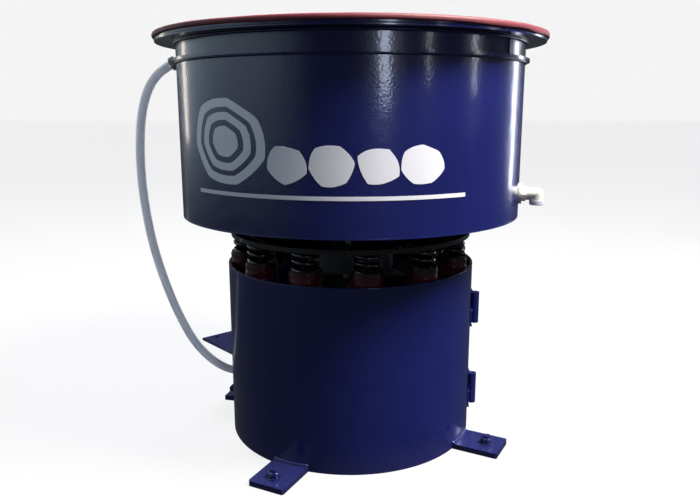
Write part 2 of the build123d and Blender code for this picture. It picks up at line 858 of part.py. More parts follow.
with BuildPart() as lining_channel_inner:
    with BuildSketch(Plane.XZ):
        with BuildLine():
            outer_arc = CenterArc((trough_centre, trough_level), trough_inner, -90, -90)
            inner_arc = CenterArc((trough_centre, trough_level), channel_radius, -90, -90)
            Line(outer_arc @ 0, inner_arc @ 0)
            Polyline(
                inner_arc @ 1, (post_top_radius, tube_top),
                (tube_radius, tube_top), (tube_radius, trough_level), outer_arc @ 1,
            )
        make_face()
    revolve(axis=Axis.Z)
finish_part("lining_channel_inner", lining_channel_inner.part)

# A gasket, a domed cap and four screws close the centre tube.
gasket_thick = 3.0
cap_thick = 4.0
cap_rise = 14.0
cap_radius = tube_radius + lining - 1
with BuildPart() as cap_gasket:
    add(ring(cap_radius - 1, ring_inner, tube_top, gasket_thick))
    with on_circle(cap_screw_circle, cap_azimuths, tube_top + gasket_thick):
        Hole(cap_screw_radius + bolt_clear, depth=gasket_thick)
finish_part("cap_gasket", cap_gasket.part)

cap_bottom = tube_top + gasket_thick
dome_flat = ring_inner - 2.0
with BuildPart() as centre_cap:
    with BuildSketch(Plane.XZ):
        with BuildLine():
            Polyline(
                (0, cap_bottom + cap_rise), (0, cap_bottom + cap_rise + cap_thick),
                (dome_flat - 22, cap_bottom + cap_rise + cap_thick),
                (dome_flat, cap_bottom + cap_thick), (cap_radius, cap_bottom + cap_thick),
                (cap_radius, cap_bottom), (dome_flat - 2, cap_bottom),
                (dome_flat - 24, cap_bottom + cap_rise),
                close=True,
            )
        make_face()
    revolve(axis=Axis.Z)
    with on_circle(cap_screw_circle, cap_azimuths, cap_bottom + cap_thick):
        Hole(cap_screw_radius + bolt_clear, depth=cap_thick)
finish_part("centre_cap", centre_cap.part)

cap_screw_length = cap_thick + gasket_thick + ring_thick
with BuildPart() as cap_screws:
    with on_circle(cap_screw_circle, cap_azimuths, cap_bottom + cap_thick):
        add(bolt(cap_screw_radius, cap_screw_length, 7.5, 5.3))
finish_part("cap_screws", cap_screws.part)

# ---- Water inlet and drain ---------------------------------------------------

inlet_pipe = inlet_radius - running
inlet_inside = channel_top_radius - 6


def along(origin, way, radius, length):
    """A round rod from a point, along a direction."""
    with BuildPart() as made:
        with BuildSketch(Plane(origin=origin, z_dir=way)):
            Circle(radius)
        extrude(amount=length)
    return made.part


# The inlet: a nipple through the skirt and lining, bent down to the hose.
with BuildPart() as inlet_fitting:
    add(along((-inlet_inside, 0, inlet_height), (-1, 0, 0), inlet_pipe, -inlet_knee.X - inlet_inside))
    with Locations(inlet_knee):
        Sphere(inlet_pipe)
    add(along(inlet_knee, inlet_way, inlet_pipe, inlet_bend))
    with BuildSketch(outward_plane(inlet_azimuth, bowl_radius, inlet_height)):
        RegularPolygon(11, 6)
    extrude(amount=inlet_hex)
    add(along((-inlet_inside, 0, inlet_height), (-1, 0, 0), hose_bore / 2, -inlet_knee.X - inlet_inside),
        mode=Mode.SUBTRACT)
    add(along(inlet_knee, inlet_way, hose_bore / 2, inlet_bend), mode=Mode.SUBTRACT)
finish_part("inlet_fitting", inlet_fitting.part)

# The nut that clamps the hose on the inlet.
with BuildPart() as inlet_nut:
    with BuildSketch(Plane(origin=hose_start, z_dir=inlet_way)):
        RegularPolygon(12, 6)
        Circle(inlet_radius, mode=Mode.SUBTRACT)
    extrude(amount=-inlet_nut_length)
finish_part("inlet_nut", inlet_nut.part)

# The hose: straight runs joined by tangent arcs, each as large as its runs allow.
route = [Vector(*point) for point in hose_route]
bend_radii = []
for before, corner, after in zip(route, route[1:], route[2:]):
    half_turn = radians((corner - before).get_angle(after - corner)) / 2
    run = min((corner - before).length, (after - corner).length)
    bend_radii.append(0.45 * run / tan(half_turn))
print("hose bend radii", [round(radius, 1) for radius in bend_radii])
with BuildPart() as water_hose:
    with BuildLine() as hose_line:
        FilletPolyline(*hose_route, radius=bend_radii)
    with BuildSketch(Plane(origin=hose_start, z_dir=inlet_way)):
        Circle(hose_outer / 2)
        Circle(hose_bore / 2, mode=Mode.SUBTRACT)
    sweep()
hose_section = pi / 4 * (hose_outer ** 2 - hose_bore ** 2)
hose_length = sum(edge.length for edge in hose_line.edges())
print("hose length", round(hose_length, 1), "volume over section times length",
      round(water_hose.part.volume / hose_section / hose_length, 4))
finish_part("water_hose", water_hose.part)

# The drain fitting is one moulding: a pipe flush with the lining, a flange and a hexagon.
drain_flange = 5.0
drain_hex = 12.0
drain_elbow_radius = 11.0
drain_hex_end = bowl_radius + drain_hex
drain_corner = outward_plane(drain_azimuth, drain_reach, drain_height).origin
drain_out = outward_plane(drain_azimuth, drain_reach, drain_height).z_dir
drain_inside = outward_plane(drain_azimuth, trough_centre, drain_height).origin
drain_nut_height = 7.5
with BuildPart() as drain_fitting:
    add(along(drain_inside, drain_out, drain_pipe_radius - running, drain_hex_end - trough_centre))
    with BuildSketch(outward_plane(drain_azimuth, bowl_radius, drain_height)):
        Circle(18)
    extrude(amount=drain_flange)
    with BuildSketch(outward_plane(drain_azimuth, bowl_radius + drain_flange, drain_height)):
        RegularPolygon(14.5, 6)
    extrude(amount=drain_hex - drain_flange)
    add(along(drain_inside, drain_out, drain_bore, drain_hex_end - trough_centre),
        mode=Mode.SUBTRACT)
    add(half_round(channel_radius), mode=Mode.SUBTRACT)
finish_part("drain_fitting", drain_fitting.part)

# A perforated disc keeps the stones out of the pipe.
strainer_radius = trough_centre + sqrt(channel_radius ** 2 - (trough_level - drain_height) ** 2) + 6
with BuildPart() as drain_strainer:
    with BuildSketch(outward_plane(drain_azimuth, strainer_radius, drain_height)):
        Circle(drain_bore - running)
        with PolarLocations(4.6, 6):
            Circle(1.4, mode=Mode.SUBTRACT)
        Circle(1.4, mode=Mode.SUBTRACT)
    extrude(amount=2)
finish_part("drain_strainer", drain_strainer.part)

# The elbow turns straight down, and a collar nut ends it.
elbow_start = outward_plane(drain_azimuth, drain_hex_end, drain_height).origin
collar_top = drain_outlet + drain_nut_height
with BuildPart() as drain_elbow:
    add(along(elbow_start, drain_out, drain_elbow_radius, drain_reach - drain_hex_end))
    with Locations(drain_corner):
        Sphere(drain_elbow_radius)
    add(along(drain_corner, (0, 0, -1), drain_elbow_radius, drain_height - collar_top))
    add(along(elbow_start, drain_out, drain_bore, drain_reach - drain_hex_end), mode=Mode.SUBTRACT)
    with Locations(drain_corner):
        Sphere(drain_bore, mode=Mode.SUBTRACT)
    add(along(drain_corner, (0, 0, -1), drain_bore, drain_height - collar_top), mode=Mode.SUBTRACT)
finish_part("drain_elbow", drain_elbow.part)

with BuildPart() as drain_nut:
    with BuildSketch(Plane(origin=(drain_corner.X, drain_corner.Y, drain_outlet))):
        Circle(12.5)
        Circle(drain_bore, mode=Mode.SUBTRACT)
    extrude(amount=drain_nut_height)
    chamfer(drain_nut.edges().group_by(Axis.Z)[0].sort_by(SortBy.RADIUS)[-1], length=1)
finish_part("drain_nut", drain_nut.part)

# ---- Motor -------------------------------------------------------------------

motor_bolt_radius = 6.0
motor_bolt_head = 10.5
motor_nut_height = 9.0

motor_bolt_length = plate_thick + motor_flange_thick + motor_nut_height + 3
with BuildPart() as motor_bolts:
    with on_circle(motor_bolt_circle, motor_bolt_azimuths, plate_top):
        add(bolt(motor_bolt_radius, motor_bolt_length, motor_bolt_head, 7.5))
finish_part("motor_bolts", motor_bolts.part)

with BuildPart() as motor_nuts:
    with on_circle(motor_bolt_circle, motor_bolt_azimuths, motor_flange_bottom - motor_nut_height):
        add(nut(motor_bolt_radius + running, motor_bolt_head, motor_nut_height))
finish_part("motor_nuts", motor_nuts.part)

# The housing is one casting with the flange that is bolted under the ring plate.
with BuildPart() as motor_housing:
    add(ring(motor_radius, motor_radius - motor_wall, motor_bottom, motor_top - motor_bottom))
    add(ring(motor_flange_radius, motor_radius, motor_flange_bottom, motor_flange_thick))
    with on_circle(motor_bolt_circle, motor_bolt_azimuths, plate_bottom):
        Hole(motor_bolt_hole, depth=motor_flange_thick)
finish_part("motor_housing", motor_housing.part)

# The end bells hold one bearing each, against a thin lip on the outside.
boss_radius = 37.0
lip_thick = 3.0
lip_radius = 20.0
boss_reach = bearing_width + lip_thick - bell_thick
with BuildPart() as end_bells:
    add(ring(motor_radius, bearing_radius, motor_bottom - bell_thick, bell_thick))
    add(ring(boss_radius, bearing_radius, motor_bottom, boss_reach))
    add(ring(bearing_radius, lip_radius, motor_bottom - bell_thick, lip_thick))
    mirror(about=Plane.XY.offset((motor_bottom + motor_top) / 2))
finish_part("end_bells", end_bells.part)

with BuildPart() as motor_bearings:
    add(ring(bearing_radius, shaft_radius + running,
             motor_bottom - bell_thick + lip_thick, bearing_width))
    add(ring(bearing_radius, shaft_radius + running,
             motor_top - boss_reach, bearing_width))
finish_part("motor_bearings", motor_bearings.part)

air_gap = 0.6
with BuildPart() as stator:
    add(ring(motor_radius - motor_wall, core_radius + air_gap, stator_bottom, stator_length))
finish_part("stator", stator.part)

winding_height = 20.0
with BuildPart() as stator_windings:
    for level in (stator_bottom - winding_height, stator_bottom + stator_length):
        add(ring(motor_radius - motor_wall - 6, core_radius + 5, level, winding_height))
finish_part("stator_windings", stator_windings.part)

# The terminal box is on the back of the motor, below its flange.
box_width = 58.0
box_azimuth = 202.5
box_reach = motor_radius + 32.0
box_bottom = motor_bottom + 4.0
box_height = 34.0
box_wall = 2.5
box_plane = radial_plane(box_azimuth, box_bottom)
with BuildPart() as terminal_box:
    with BuildSketch(box_plane):
        with Locations((box_reach - 26, 0)):
            Rectangle(52, box_width)
    extrude(amount=box_height)
    with BuildSketch(box_plane.offset(box_wall)):
        with Locations(((motor_radius + 4 + box_reach) / 2, 0)):
            Rectangle(box_reach - motor_radius - 4, box_width - 2 * box_wall)
    extrude(amount=box_height - 2 * box_wall, mode=Mode.SUBTRACT)
    add(disc(motor_radius, 0, bowl_top), mode=Mode.SUBTRACT)
finish_part("terminal_box", terminal_box.part)

with BuildPart() as terminal_lid:
    with BuildSketch(box_plane):
        with Locations((box_reach + 1.5, 0)):
            Rectangle(3, box_width)
    extrude(amount=box_height)
finish_part("terminal_lid", terminal_lid.part)

# ---- Rotor and eccentric weights ---------------------------------------------

with BuildPart() as motor_shaft:
    add(disc(shaft_radius, shaft_bottom, shaft_top - shaft_bottom))
    chamfer(motor_shaft.edges().filter_by(GeomType.CIRCLE), length=1)
finish_part("motor_shaft", motor_shaft.part)

with BuildPart() as rotor_core:
    add(ring(core_radius, shaft_radius, stator_bottom, stator_length))
finish_part("rotor_core", rotor_core.part)

hub_radius = 32.0
clamp_radius = 4.0
weight_azimuth = 180.0


def eccentric_weight(outer, bore, bottom, thick):
    """A half-round plate on a hub, drilled opposite the plate for a clamp screw."""
    with BuildPart() as made:
        with BuildSketch(Plane.XY.offset(bottom)):
            Circle(outer)
            with Locations((0, -outer)):
                Rectangle(2 * outer, 2 * outer, mode=Mode.SUBTRACT)
            Circle(hub_radius)
            Circle(bore, mode=Mode.SUBTRACT)
        extrude(amount=thick)
        add(along((0, -bore + 1, bottom + thick / 2), (0, -1, 0), clamp_radius + running,
                  hub_radius), mode=Mode.SUBTRACT)
    return made.part


def clamp_screw(level):
    """The screw that pinches a weight's hub on the shaft."""
    with BuildPart() as made:
        add(along((0, -shaft_radius - 2 * running, level), (0, -1, 0), clamp_radius,
                  hub_radius - shaft_radius + 2))
        with BuildSketch(Plane(origin=(0, -hub_radius - 0.2, level), z_dir=(0, -1, 0))):
            RegularPolygon(7.5, 6)
        extrude(amount=5.3)
    return made.part


with BuildPart() as upper_weight:
    add(eccentric_weight(upper_weight_radius, shaft_radius, upper_weight_bottom,
                         upper_weight_thick))
finish_part("upper_weight", upper_weight.part)

with BuildPart() as upper_clamp_screw:
    add(clamp_screw(upper_weight_bottom + upper_weight_thick / 2))
finish_part("upper_clamp_screw", upper_clamp_screw.part)

lower_weight_bottom = lower_weight_top - lower_weight_thick
with BuildPart() as lower_weight:
    add(eccentric_weight(lower_weight_radius, shaft_radius + running, lower_weight_bottom,
                         lower_weight_thick))
finish_part("lower_weight", lower_weight.part)

with BuildPart() as lower_clamp_screw:
    add(clamp_screw(lower_weight_bottom + lower_weight_thick / 2))
finish_part("lower_clamp_screw", lower_clamp_screw.part)

for name, solid in made_parts.items():
    print(name, round(solid.volume))
print(len(made_parts), "nodes; door hinge axis at", round(hinge_x, 3), round(hinge_y, 3))
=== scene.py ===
from math import cos, pi, radians, sin

import bmesh
import bpy
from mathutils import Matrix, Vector, noise


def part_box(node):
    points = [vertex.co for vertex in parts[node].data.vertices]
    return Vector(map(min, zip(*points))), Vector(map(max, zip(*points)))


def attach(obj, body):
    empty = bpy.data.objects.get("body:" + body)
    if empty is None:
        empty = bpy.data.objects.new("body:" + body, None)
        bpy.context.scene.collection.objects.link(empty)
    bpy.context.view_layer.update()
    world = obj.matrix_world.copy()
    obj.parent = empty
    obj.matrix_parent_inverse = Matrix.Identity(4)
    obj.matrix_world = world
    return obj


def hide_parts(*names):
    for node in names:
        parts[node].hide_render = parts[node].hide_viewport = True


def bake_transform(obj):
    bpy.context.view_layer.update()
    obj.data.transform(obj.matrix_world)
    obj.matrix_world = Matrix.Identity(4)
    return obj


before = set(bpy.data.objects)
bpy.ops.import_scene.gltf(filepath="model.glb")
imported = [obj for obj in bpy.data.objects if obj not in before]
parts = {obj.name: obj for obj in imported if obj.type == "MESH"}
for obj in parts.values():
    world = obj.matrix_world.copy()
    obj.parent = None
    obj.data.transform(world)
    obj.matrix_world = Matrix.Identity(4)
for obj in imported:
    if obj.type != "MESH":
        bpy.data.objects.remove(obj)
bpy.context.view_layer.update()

scene = bpy.context.scene


# ---- Studio ------------------------------------------------------------------
# A plain pale floor in a pale room. A large soft lamp high on the right is the main
# light, and tall soft lamps at the sides draw upright streaks on the round enamel.
def linear(code):
    """An sRGB hex colour as a linear RGBA colour."""
    shares = [int(code[i:i + 2], 16) / 255 for i in (1, 3, 5)]
    return [s / 12.92 if s <= 0.04045 else ((s + 0.055) / 1.055) ** 2.4 for s in shares] + [1.0]


def add_node(tree, kind, inputs=None, **settings):
    """Add a node with its settings; each input is a value or another node's output."""
    node = tree.nodes.new(kind)
    for name, value in settings.items():
        setattr(node, name, value)
    for name, value in (inputs or {}).items():
        if isinstance(value, bpy.types.NodeSocket):
            tree.links.new(value, node.inputs[name])
        else:
            node.inputs[name].default_value = value
    return node


def new_material(name, **sockets):
    """A material with a surface shader; the sockets that are the same all over are set on it."""
    material = bpy.data.materials.new(name)
    material.use_nodes = True
    shader = material.node_tree.nodes["Principled BSDF"]
    for socket, value in sockets.items():
        shader.inputs[socket.replace("_", " ")].default_value = value
    return material, material.node_tree, shader


def mesh_piece(name, points, faces, material, smooth=True):
    """A mesh object at the origin, with its place in its mesh."""
    mesh = bpy.data.meshes.new(name)
    mesh.from_pydata([tuple(p) for p in points], [], faces)
    mesh.materials.append(material)
    mesh.polygons.foreach_set("use_smooth", [smooth] * len(mesh.polygons))
    mesh.update()
    piece = bpy.data.objects.new(name, mesh)
    scene.collection.objects.link(piece)
    return piece


studio_floor, floor_tree, floor_shader = new_material(
    "matt_floor_paint", Roughness=0.85, Emission_Color=linear("#F4F4F5"), Emission_Strength=0.93)
floor_speck = add_node(floor_tree, "ShaderNodeTexNoise", {"Scale": 6.0, "Detail": 3.0})
floor_tint = add_node(floor_tree, "ShaderNodeMix", {
    0: floor_speck.outputs["Fac"], 6: linear("#3C3C3D"), 7: linear("#424243")}, data_type="RGBA")
floor_tree.links.new(floor_tint.outputs[2], floor_shader.inputs["Base Color"])
reach = 30.0
floor_piece = mesh_piece(
    "studio_floor", [(-reach, -reach, 0), (reach, -reach, 0), (reach, reach, 0), (-reach, reach, 0)],
    [(0, 1, 2, 3)], studio_floor, smooth=False)
floor_piece.visible_diffuse = floor_piece.visible_glossy = False  # it throws no light back

# The room is open and pale high on the left, dark elsewhere, and plain where it is seen.
world = bpy.data.worlds.new("studio_room")
scene.world = world
world.use_nodes = True
room = world.node_tree
room.nodes.clear()
way = add_node(room, "ShaderNodeTexCoord")
split = add_node(room, "ShaderNodeSeparateXYZ", {"Vector": way.outputs["Generated"]})
side = add_node(room, "ShaderNodeMapRange", {
    "Value": split.outputs["X"], "From Min": -0.34, "From Max": -0.95},
    interpolation_type="SMOOTHSTEP")
height = add_node(room, "ShaderNodeMapRange", {
    "Value": split.outputs["Z"], "From Min": -0.22, "From Max": 0.12},
    interpolation_type="SMOOTHSTEP")
open_side = add_node(room, "ShaderNodeMath", {
    0: side.outputs[0], 1: height.outputs[0]}, operation="MULTIPLY")
tone = add_node(room, "ShaderNodeMix", {
    0: open_side.outputs[0], 6: linear("#383A3E"), 7: linear("#C2D6E2")}, data_type="RGBA")
unlit = add_node(room, "ShaderNodeBackground", {"Color": tone.outputs[2], "Strength": 1.15})
seen = add_node(room, "ShaderNodeBackground", {"Color": linear("#F4F4F5"), "Strength": 1.0})
ray = add_node(room, "ShaderNodeLightPath")
seen_through = add_node(room, "ShaderNodeMath", {
    0: ray.outputs["Is Camera Ray"], 1: ray.outputs["Is Transmission Ray"]}, operation="MAXIMUM")
both = add_node(room, "ShaderNodeMixShader", {
    0: seen_through.outputs[0], 1: unlit.outputs[0], 2: seen.outputs[0]})
add_node(room, "ShaderNodeOutputWorld", {"Surface": both.outputs[0]})


def on_azimuth(azimuth, radius, height):
    """A point at an azimuth in degrees, a radius and a height."""
    return Vector((radius * sin(radians(azimuth)), -radius * cos(radians(azimuth)), height))


lamp_target = Vector((0, 0, 0.42))
lamps = {  # azimuth, elevation, distance, width, height, watts, colour
    "key_lamp": (64, 53, 2.6, 0.8, 0.8, 250, "#FFF9F2"),
    "streak_lamp": (19, 11, 2.3, 0.22, 0.40, 3.2, "#D8E4FF"),
    "second_streak_lamp": (45, 11, 2.3, 0.12, 0.30, 0.4, "#F4F6FF"),
    "third_streak_lamp": (77, 11, 2.3, 0.12, 0.40, 1.0, "#F4F6FF"),
    "side_window": (124, 9, 2.4, 0.30, 1.2, 9, "#E8EEFF"),
    "left_window": (-126, 10, 2.4, 0.26, 0.8, 2.0, "#FFF4E4"),
    "back_panel": (-158, 52, 3.0, 1.4, 1.0, 110, "#F6F8FF"),
}
for name, (azimuth, elevation, distance, width, height, watts, colour) in lamps.items():
    lamp = bpy.data.lights.new(name, "AREA")
    lamp.shape = "RECTANGLE"
    lamp.size, lamp.size_y = width, height
    lamp.energy = watts
    lamp.color = linear(colour)[:3]
    stand = bpy.data.objects.new(name, lamp)
    scene.collection.objects.link(stand)
    level = radians(elevation)
    stand.location = lamp_target + on_azimuth(azimuth, distance * cos(level), distance * sin(level))
    stand.rotation_euler = (lamp_target - stand.location).to_track_quat("-Z", "Y").to_euler()

camera = bpy.data.cameras.new("camera")
camera.sensor_width = 36.0
camera.lens = 35.18
camera_stand = bpy.data.objects.new("camera", camera)
scene.collection.objects.link(camera_stand)
camera_stand.location = (-0.001, -1.273, 0.6036)
camera_stand.rotation_euler = (radians(90 - 11.8), 0, 0)
scene.camera = camera_stand
scene.view_settings.view_transform = "Standard"


# ---- Water hose --------------------------------------------------------------
# A soft clear-vinyl tube of 5/8 in outside diameter from the bowl's inlet down to the
# elbow on the drum. It is extruded, pushed on at both ends, and hangs in an open arc.
hose_route = [
    (-0.323, 0, 0.678), (-0.341, 0, 0.668), (-0.358, 0.001, 0.651), (-0.370, 0.001, 0.629),
    (-0.379, 0.002, 0.603), (-0.385, 0.003, 0.572), (-0.389, 0.004, 0.534), (-0.391, 0.006, 0.484),
    (-0.388, 0.008, 0.424), (-0.380, 0.010, 0.358), (-0.365, 0.013, 0.290), (-0.342, 0.018, 0.215),
    (-0.313, 0.027, 0.145), (-0.278, 0.043, 0.097), (-0.252, 0.075, 0.067), (-0.229, 0.119, 0.046),
    (-0.207, 0.145, 0.046),
]
hose_outer, hose_bore = 0.0159, 0.0095

# Clear flexible PVC is milky where it is thick: light passes, but nothing is sharp behind it.
clear_vinyl, vinyl_tree, vinyl_shader = new_material(
    "clear_vinyl_extruded", Roughness=0.3, IOR=1.42, Transmission_Weight=0.6,
    Subsurface_Weight=0.3, Subsurface_Scale=0.005)
vinyl_place = add_node(vinyl_tree, "ShaderNodeTexCoord")
vinyl_haze = add_node(vinyl_tree, "ShaderNodeTexNoise", {
    "Vector": vinyl_place.outputs["Object"], "Scale": 45.0, "Detail": 3.0})
vinyl_tint = add_node(vinyl_tree, "ShaderNodeMix", {
    0: vinyl_haze.outputs["Fac"], 6: linear("#DCE5F0"), 7: linear("#F1F5F9")}, data_type="RGBA")
vinyl_tree.links.new(vinyl_tint.outputs[2], vinyl_shader.inputs["Base Color"])
vinyl_draw = add_node(vinyl_tree, "ShaderNodeTexNoise", {  # die lines about 1 mm apart
    "Vector": vinyl_place.outputs["Object"], "Scale": 900.0, "Detail": 1.0})
vinyl_bump = add_node(vinyl_tree, "ShaderNodeBump", {
    "Strength": 0.08, "Distance": 0.0003, "Height": vinyl_draw.outputs["Fac"]})
vinyl_tree.links.new(vinyl_bump.outputs[0], vinyl_shader.inputs["Normal"])

route_curve = bpy.data.curves.new("hose_route", "CURVE")
route_curve.dimensions = "3D"
route_curve.resolution_u = 10
route_spline = route_curve.splines.new("NURBS")
route_spline.points.add(len(hose_route) - 1)
for point, place in zip(route_spline.points, hose_route):
    point.co = (*place, 1.0)
route_spline.order_u = 3
route_spline.use_endpoint_u = True
route_object = bpy.data.objects.new("hose_route", route_curve)
scene.collection.objects.link(route_object)
bpy.context.view_layer.update()
route_mesh = bpy.data.meshes.new_from_object(
    route_object.evaluated_get(bpy.context.evaluated_depsgraph_get()))
hose_path = [vertex.co.copy() for vertex in route_mesh.vertices]
bpy.data.objects.remove(route_object)
bpy.data.meshes.remove(route_mesh)


def swept_tube(path, radii, sides=20):
    """Points and faces of a tube along a path: one skin for each radius, joined at the ends."""
    points, faces = [], []
    across = None
    rings = []
    for number, place in enumerate(path):
        ahead = (path[min(number + 1, len(path) - 1)] - path[max(number - 1, 0)]).normalized()
        if across is None:
            across = ahead.orthogonal().normalized()
        across = (across - ahead * across.dot(ahead)).normalized()
        third = ahead.cross(across)
        turns = [2 * pi * s / sides for s in range(sides)]
        rings.append([[place + across * (r * cos(turn)) + third * (r * sin(turn)) for turn in turns]
                      for r in radii])
    order = [(number, 0) for number in range(len(path))]
    order += [(number, 1) for number in reversed(range(len(path)))]
    for number, skin in order:
        points += rings[number][skin]
    for ring in range(len(order)):
        following = (ring + 1) % len(order)
        for s in range(sides):
            t = (s + 1) % sides
            faces.append((ring * sides + s, ring * sides + t,
                          following * sides + t, following * sides + s))
    return points, faces


tube_points, tube_faces = swept_tube(hose_path, (hose_outer / 2, hose_bore / 2))
hose = mesh_piece("clear_hose", tube_points, tube_faces, clear_vinyl)
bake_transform(hose)
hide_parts("water_hose")


# ---- Painted steelwork -------------------------------------------------------
# The drum, feet, shelf, door and bowl are welded mild steel plate, sprayed together with
# a deep blue gloss enamel that dried with an orange-peel skin.
def paint(material, *names):
    """Give CAD parts this finish."""
    for name in names:
        for material_slot in parts[name].material_slots:
            material_slot.material = material


# Gloss enamel: deep navy under a clear wet-looking skin, rippled about every 5 mm.
blue_enamel, enamel_tree, enamel_shader = new_material(
    "blue_gloss_enamel_sprayed", IOR=1.5, Coat_Weight=0.6, Coat_Roughness=0.09)
enamel_place = add_node(enamel_tree, "ShaderNodeTexCoord")
enamel_cloud = add_node(enamel_tree, "ShaderNodeTexNoise", {
    "Vector": enamel_place.outputs["Object"], "Scale": 7.0, "Detail": 3.0})
enamel_tint = add_node(enamel_tree, "ShaderNodeMix", {
    0: enamel_cloud.outputs["Fac"], 6: linear("#0E1448"), 7: linear("#151C58")}, data_type="RGBA")
enamel_split = add_node(enamel_tree, "ShaderNodeSeparateXYZ", {
    "Vector": enamel_place.outputs["Object"]})
enamel_low = add_node(enamel_tree, "ShaderNodeMapRange", {  # workshop dust settles near the floor
    "Value": enamel_split.outputs["Z"], "From Min": 0.0, "From Max": 0.05, "To Min": 0.10, "To Max": 0.0})
enamel_grit = add_node(enamel_tree, "ShaderNodeTexNoise", {
    "Vector": enamel_place.outputs["Object"], "Scale": 140.0, "Detail": 2.0, "Roughness": 0.5})
enamel_dust = add_node(enamel_tree, "ShaderNodeMath", {
    0: enamel_low.outputs[0], 1: enamel_grit.outputs["Fac"]}, operation="MULTIPLY")
enamel_dusty = add_node(enamel_tree, "ShaderNodeMix", {
    0: enamel_dust.outputs[0], 6: enamel_tint.outputs[2], 7: linear("#6E6A66")}, data_type="RGBA")
enamel_tree.links.new(enamel_dusty.outputs[2], enamel_shader.inputs["Base Color"])
enamel_haze = add_node(enamel_tree, "ShaderNodeMapRange", {
    "Value": enamel_grit.outputs["Fac"], "From Min": 0.3, "From Max": 0.7, "To Min": 0.22, "To Max": 0.27})
enamel_tree.links.new(enamel_haze.outputs[0], enamel_shader.inputs["Roughness"])
enamel_peel = add_node(enamel_tree, "ShaderNodeTexNoise", {
    "Vector": enamel_place.outputs["Object"], "Scale": 260.0, "Detail": 0.5, "Roughness": 0.4})
enamel_wave = add_node(enamel_tree, "ShaderNodeTexNoise", {
    "Vector": enamel_place.outputs["Object"], "Scale": 22.0, "Detail": 1.0})
enamel_skin = add_node(enamel_tree, "ShaderNodeBump", {
    "Strength": 0.14, "Distance": 0.0008, "Height": enamel_peel.outputs["Fac"]})
enamel_sheet = add_node(enamel_tree, "ShaderNodeBump", {
    "Strength": 0.10, "Distance": 0.004, "Height": enamel_wave.outputs["Fac"],
    "Normal": enamel_skin.outputs[0]})
enamel_tree.links.new(enamel_sheet.outputs[0], enamel_shader.inputs["Normal"])
enamel_tree.links.new(enamel_sheet.outputs[0], enamel_shader.inputs["Coat Normal"])
paint(blue_enamel, "base_drum", "spring_shelf", "shelf_brackets", "foot_plates", "corner_foot",
      "tie_down_lug", "foot_washers", "levelling_screws", "tie_down_bolt", "pump_shelf",
      "pump_shelf_gussets", "hinge_base_knuckles", "hinge_door_knuckles", "hinge_pins",
      "access_door", "door_handle", "bowl_shell", "bowl_trough", "centre_tube",
      "hoop_ring", "rim_flange", "centre_cap")


# ---- Weld beads --------------------------------------------------------------
# Every plate is joined by a hand-laid fillet weld, rippled about every 2.5 mm by the
# torch and painted over. Each bead is swept along its seam, thicker at each ripple.
weld_tree = bpy.data.node_groups.new("weld_bead", "GeometryNodeTree")
weld_sockets = {}
for label, kind in (("Geometry", "NodeSocketGeometry"), ("Bead Radius", "NodeSocketFloat"),
                    ("Ripple Spacing", "NodeSocketFloat"), ("Ripple Share", "NodeSocketFloat"),
                    ("Material", "NodeSocketMaterial")):
    weld_sockets[label] = weld_tree.interface.new_socket(
        label, in_out="INPUT", socket_type=kind).identifier
weld_tree.interface.new_socket("Geometry", in_out="OUTPUT", socket_type="NodeSocketGeometry")
weld_in = add_node(weld_tree, "NodeGroupInput")
weld_line = add_node(weld_tree, "GeometryNodeMeshToCurve", {"Mesh": weld_in.outputs["Geometry"]})
weld_steps = add_node(weld_tree, "GeometryNodeResampleCurve", {
    "Curve": weld_line.outputs[0], "Length": 0.0009}, mode="LENGTH")
weld_run = add_node(weld_tree, "GeometryNodeSplineParameter")
weld_turns = add_node(weld_tree, "ShaderNodeMath", {
    0: weld_run.outputs["Length"], 1: weld_in.outputs["Ripple Spacing"]}, operation="DIVIDE")
weld_phase = add_node(weld_tree, "ShaderNodeMath", {0: weld_turns.outputs[0], 1: pi}, operation="MULTIPLY")
weld_wave = add_node(weld_tree, "ShaderNodeMath", {0: weld_phase.outputs[0]}, operation="SINE")
weld_crest = add_node(weld_tree, "ShaderNodeMath", {0: weld_wave.outputs[0]}, operation="ABSOLUTE")
weld_rise = add_node(weld_tree, "ShaderNodeMath", {
    0: weld_crest.outputs[0], 1: weld_in.outputs["Ripple Share"], 2: 1.0}, operation="MULTIPLY_ADD")
weld_size = add_node(weld_tree, "ShaderNodeMath", {
    0: weld_rise.outputs[0], 1: weld_in.outputs["Bead Radius"]}, operation="MULTIPLY")
weld_ring = add_node(weld_tree, "GeometryNodeCurvePrimitiveCircle", {"Resolution": 8, "Radius": 1.0})
weld_body = add_node(weld_tree, "GeometryNodeCurveToMesh", {
    "Curve": weld_steps.outputs[0], "Profile Curve": weld_ring.outputs[0],
    "Scale": weld_size.outputs[0], "Fill Caps": True})
weld_real = add_node(weld_tree, "GeometryNodeRealizeInstances", {"Geometry": weld_body.outputs[0]})
weld_painted = add_node(weld_tree, "GeometryNodeSetMaterial", {
    "Geometry": weld_real.outputs[0], "Material": weld_in.outputs["Material"]})
add_node(weld_tree, "NodeGroupOutput", {"Geometry": weld_painted.outputs[0]})


def grown_by(name, tree, sockets, mesh, values):
    """Run a Geometry Nodes tree on a host mesh and keep its result as a plain mesh piece."""
    host = bpy.data.objects.new(name, mesh)
    scene.collection.objects.link(host)
    modifier = host.modifiers.new(name, "NODES")
    modifier.node_group = tree
    for label, value in values.items():
        modifier[sockets[label]] = value
    bpy.context.view_layer.update()
    made = bpy.data.meshes.new_from_object(
        host.evaluated_get(bpy.context.evaluated_depsgraph_get()))
    host.modifiers.remove(modifier)
    host.data = made
    made.name = name
    made.polygons.foreach_set("use_smooth", [True] * len(made.polygons))
    return host


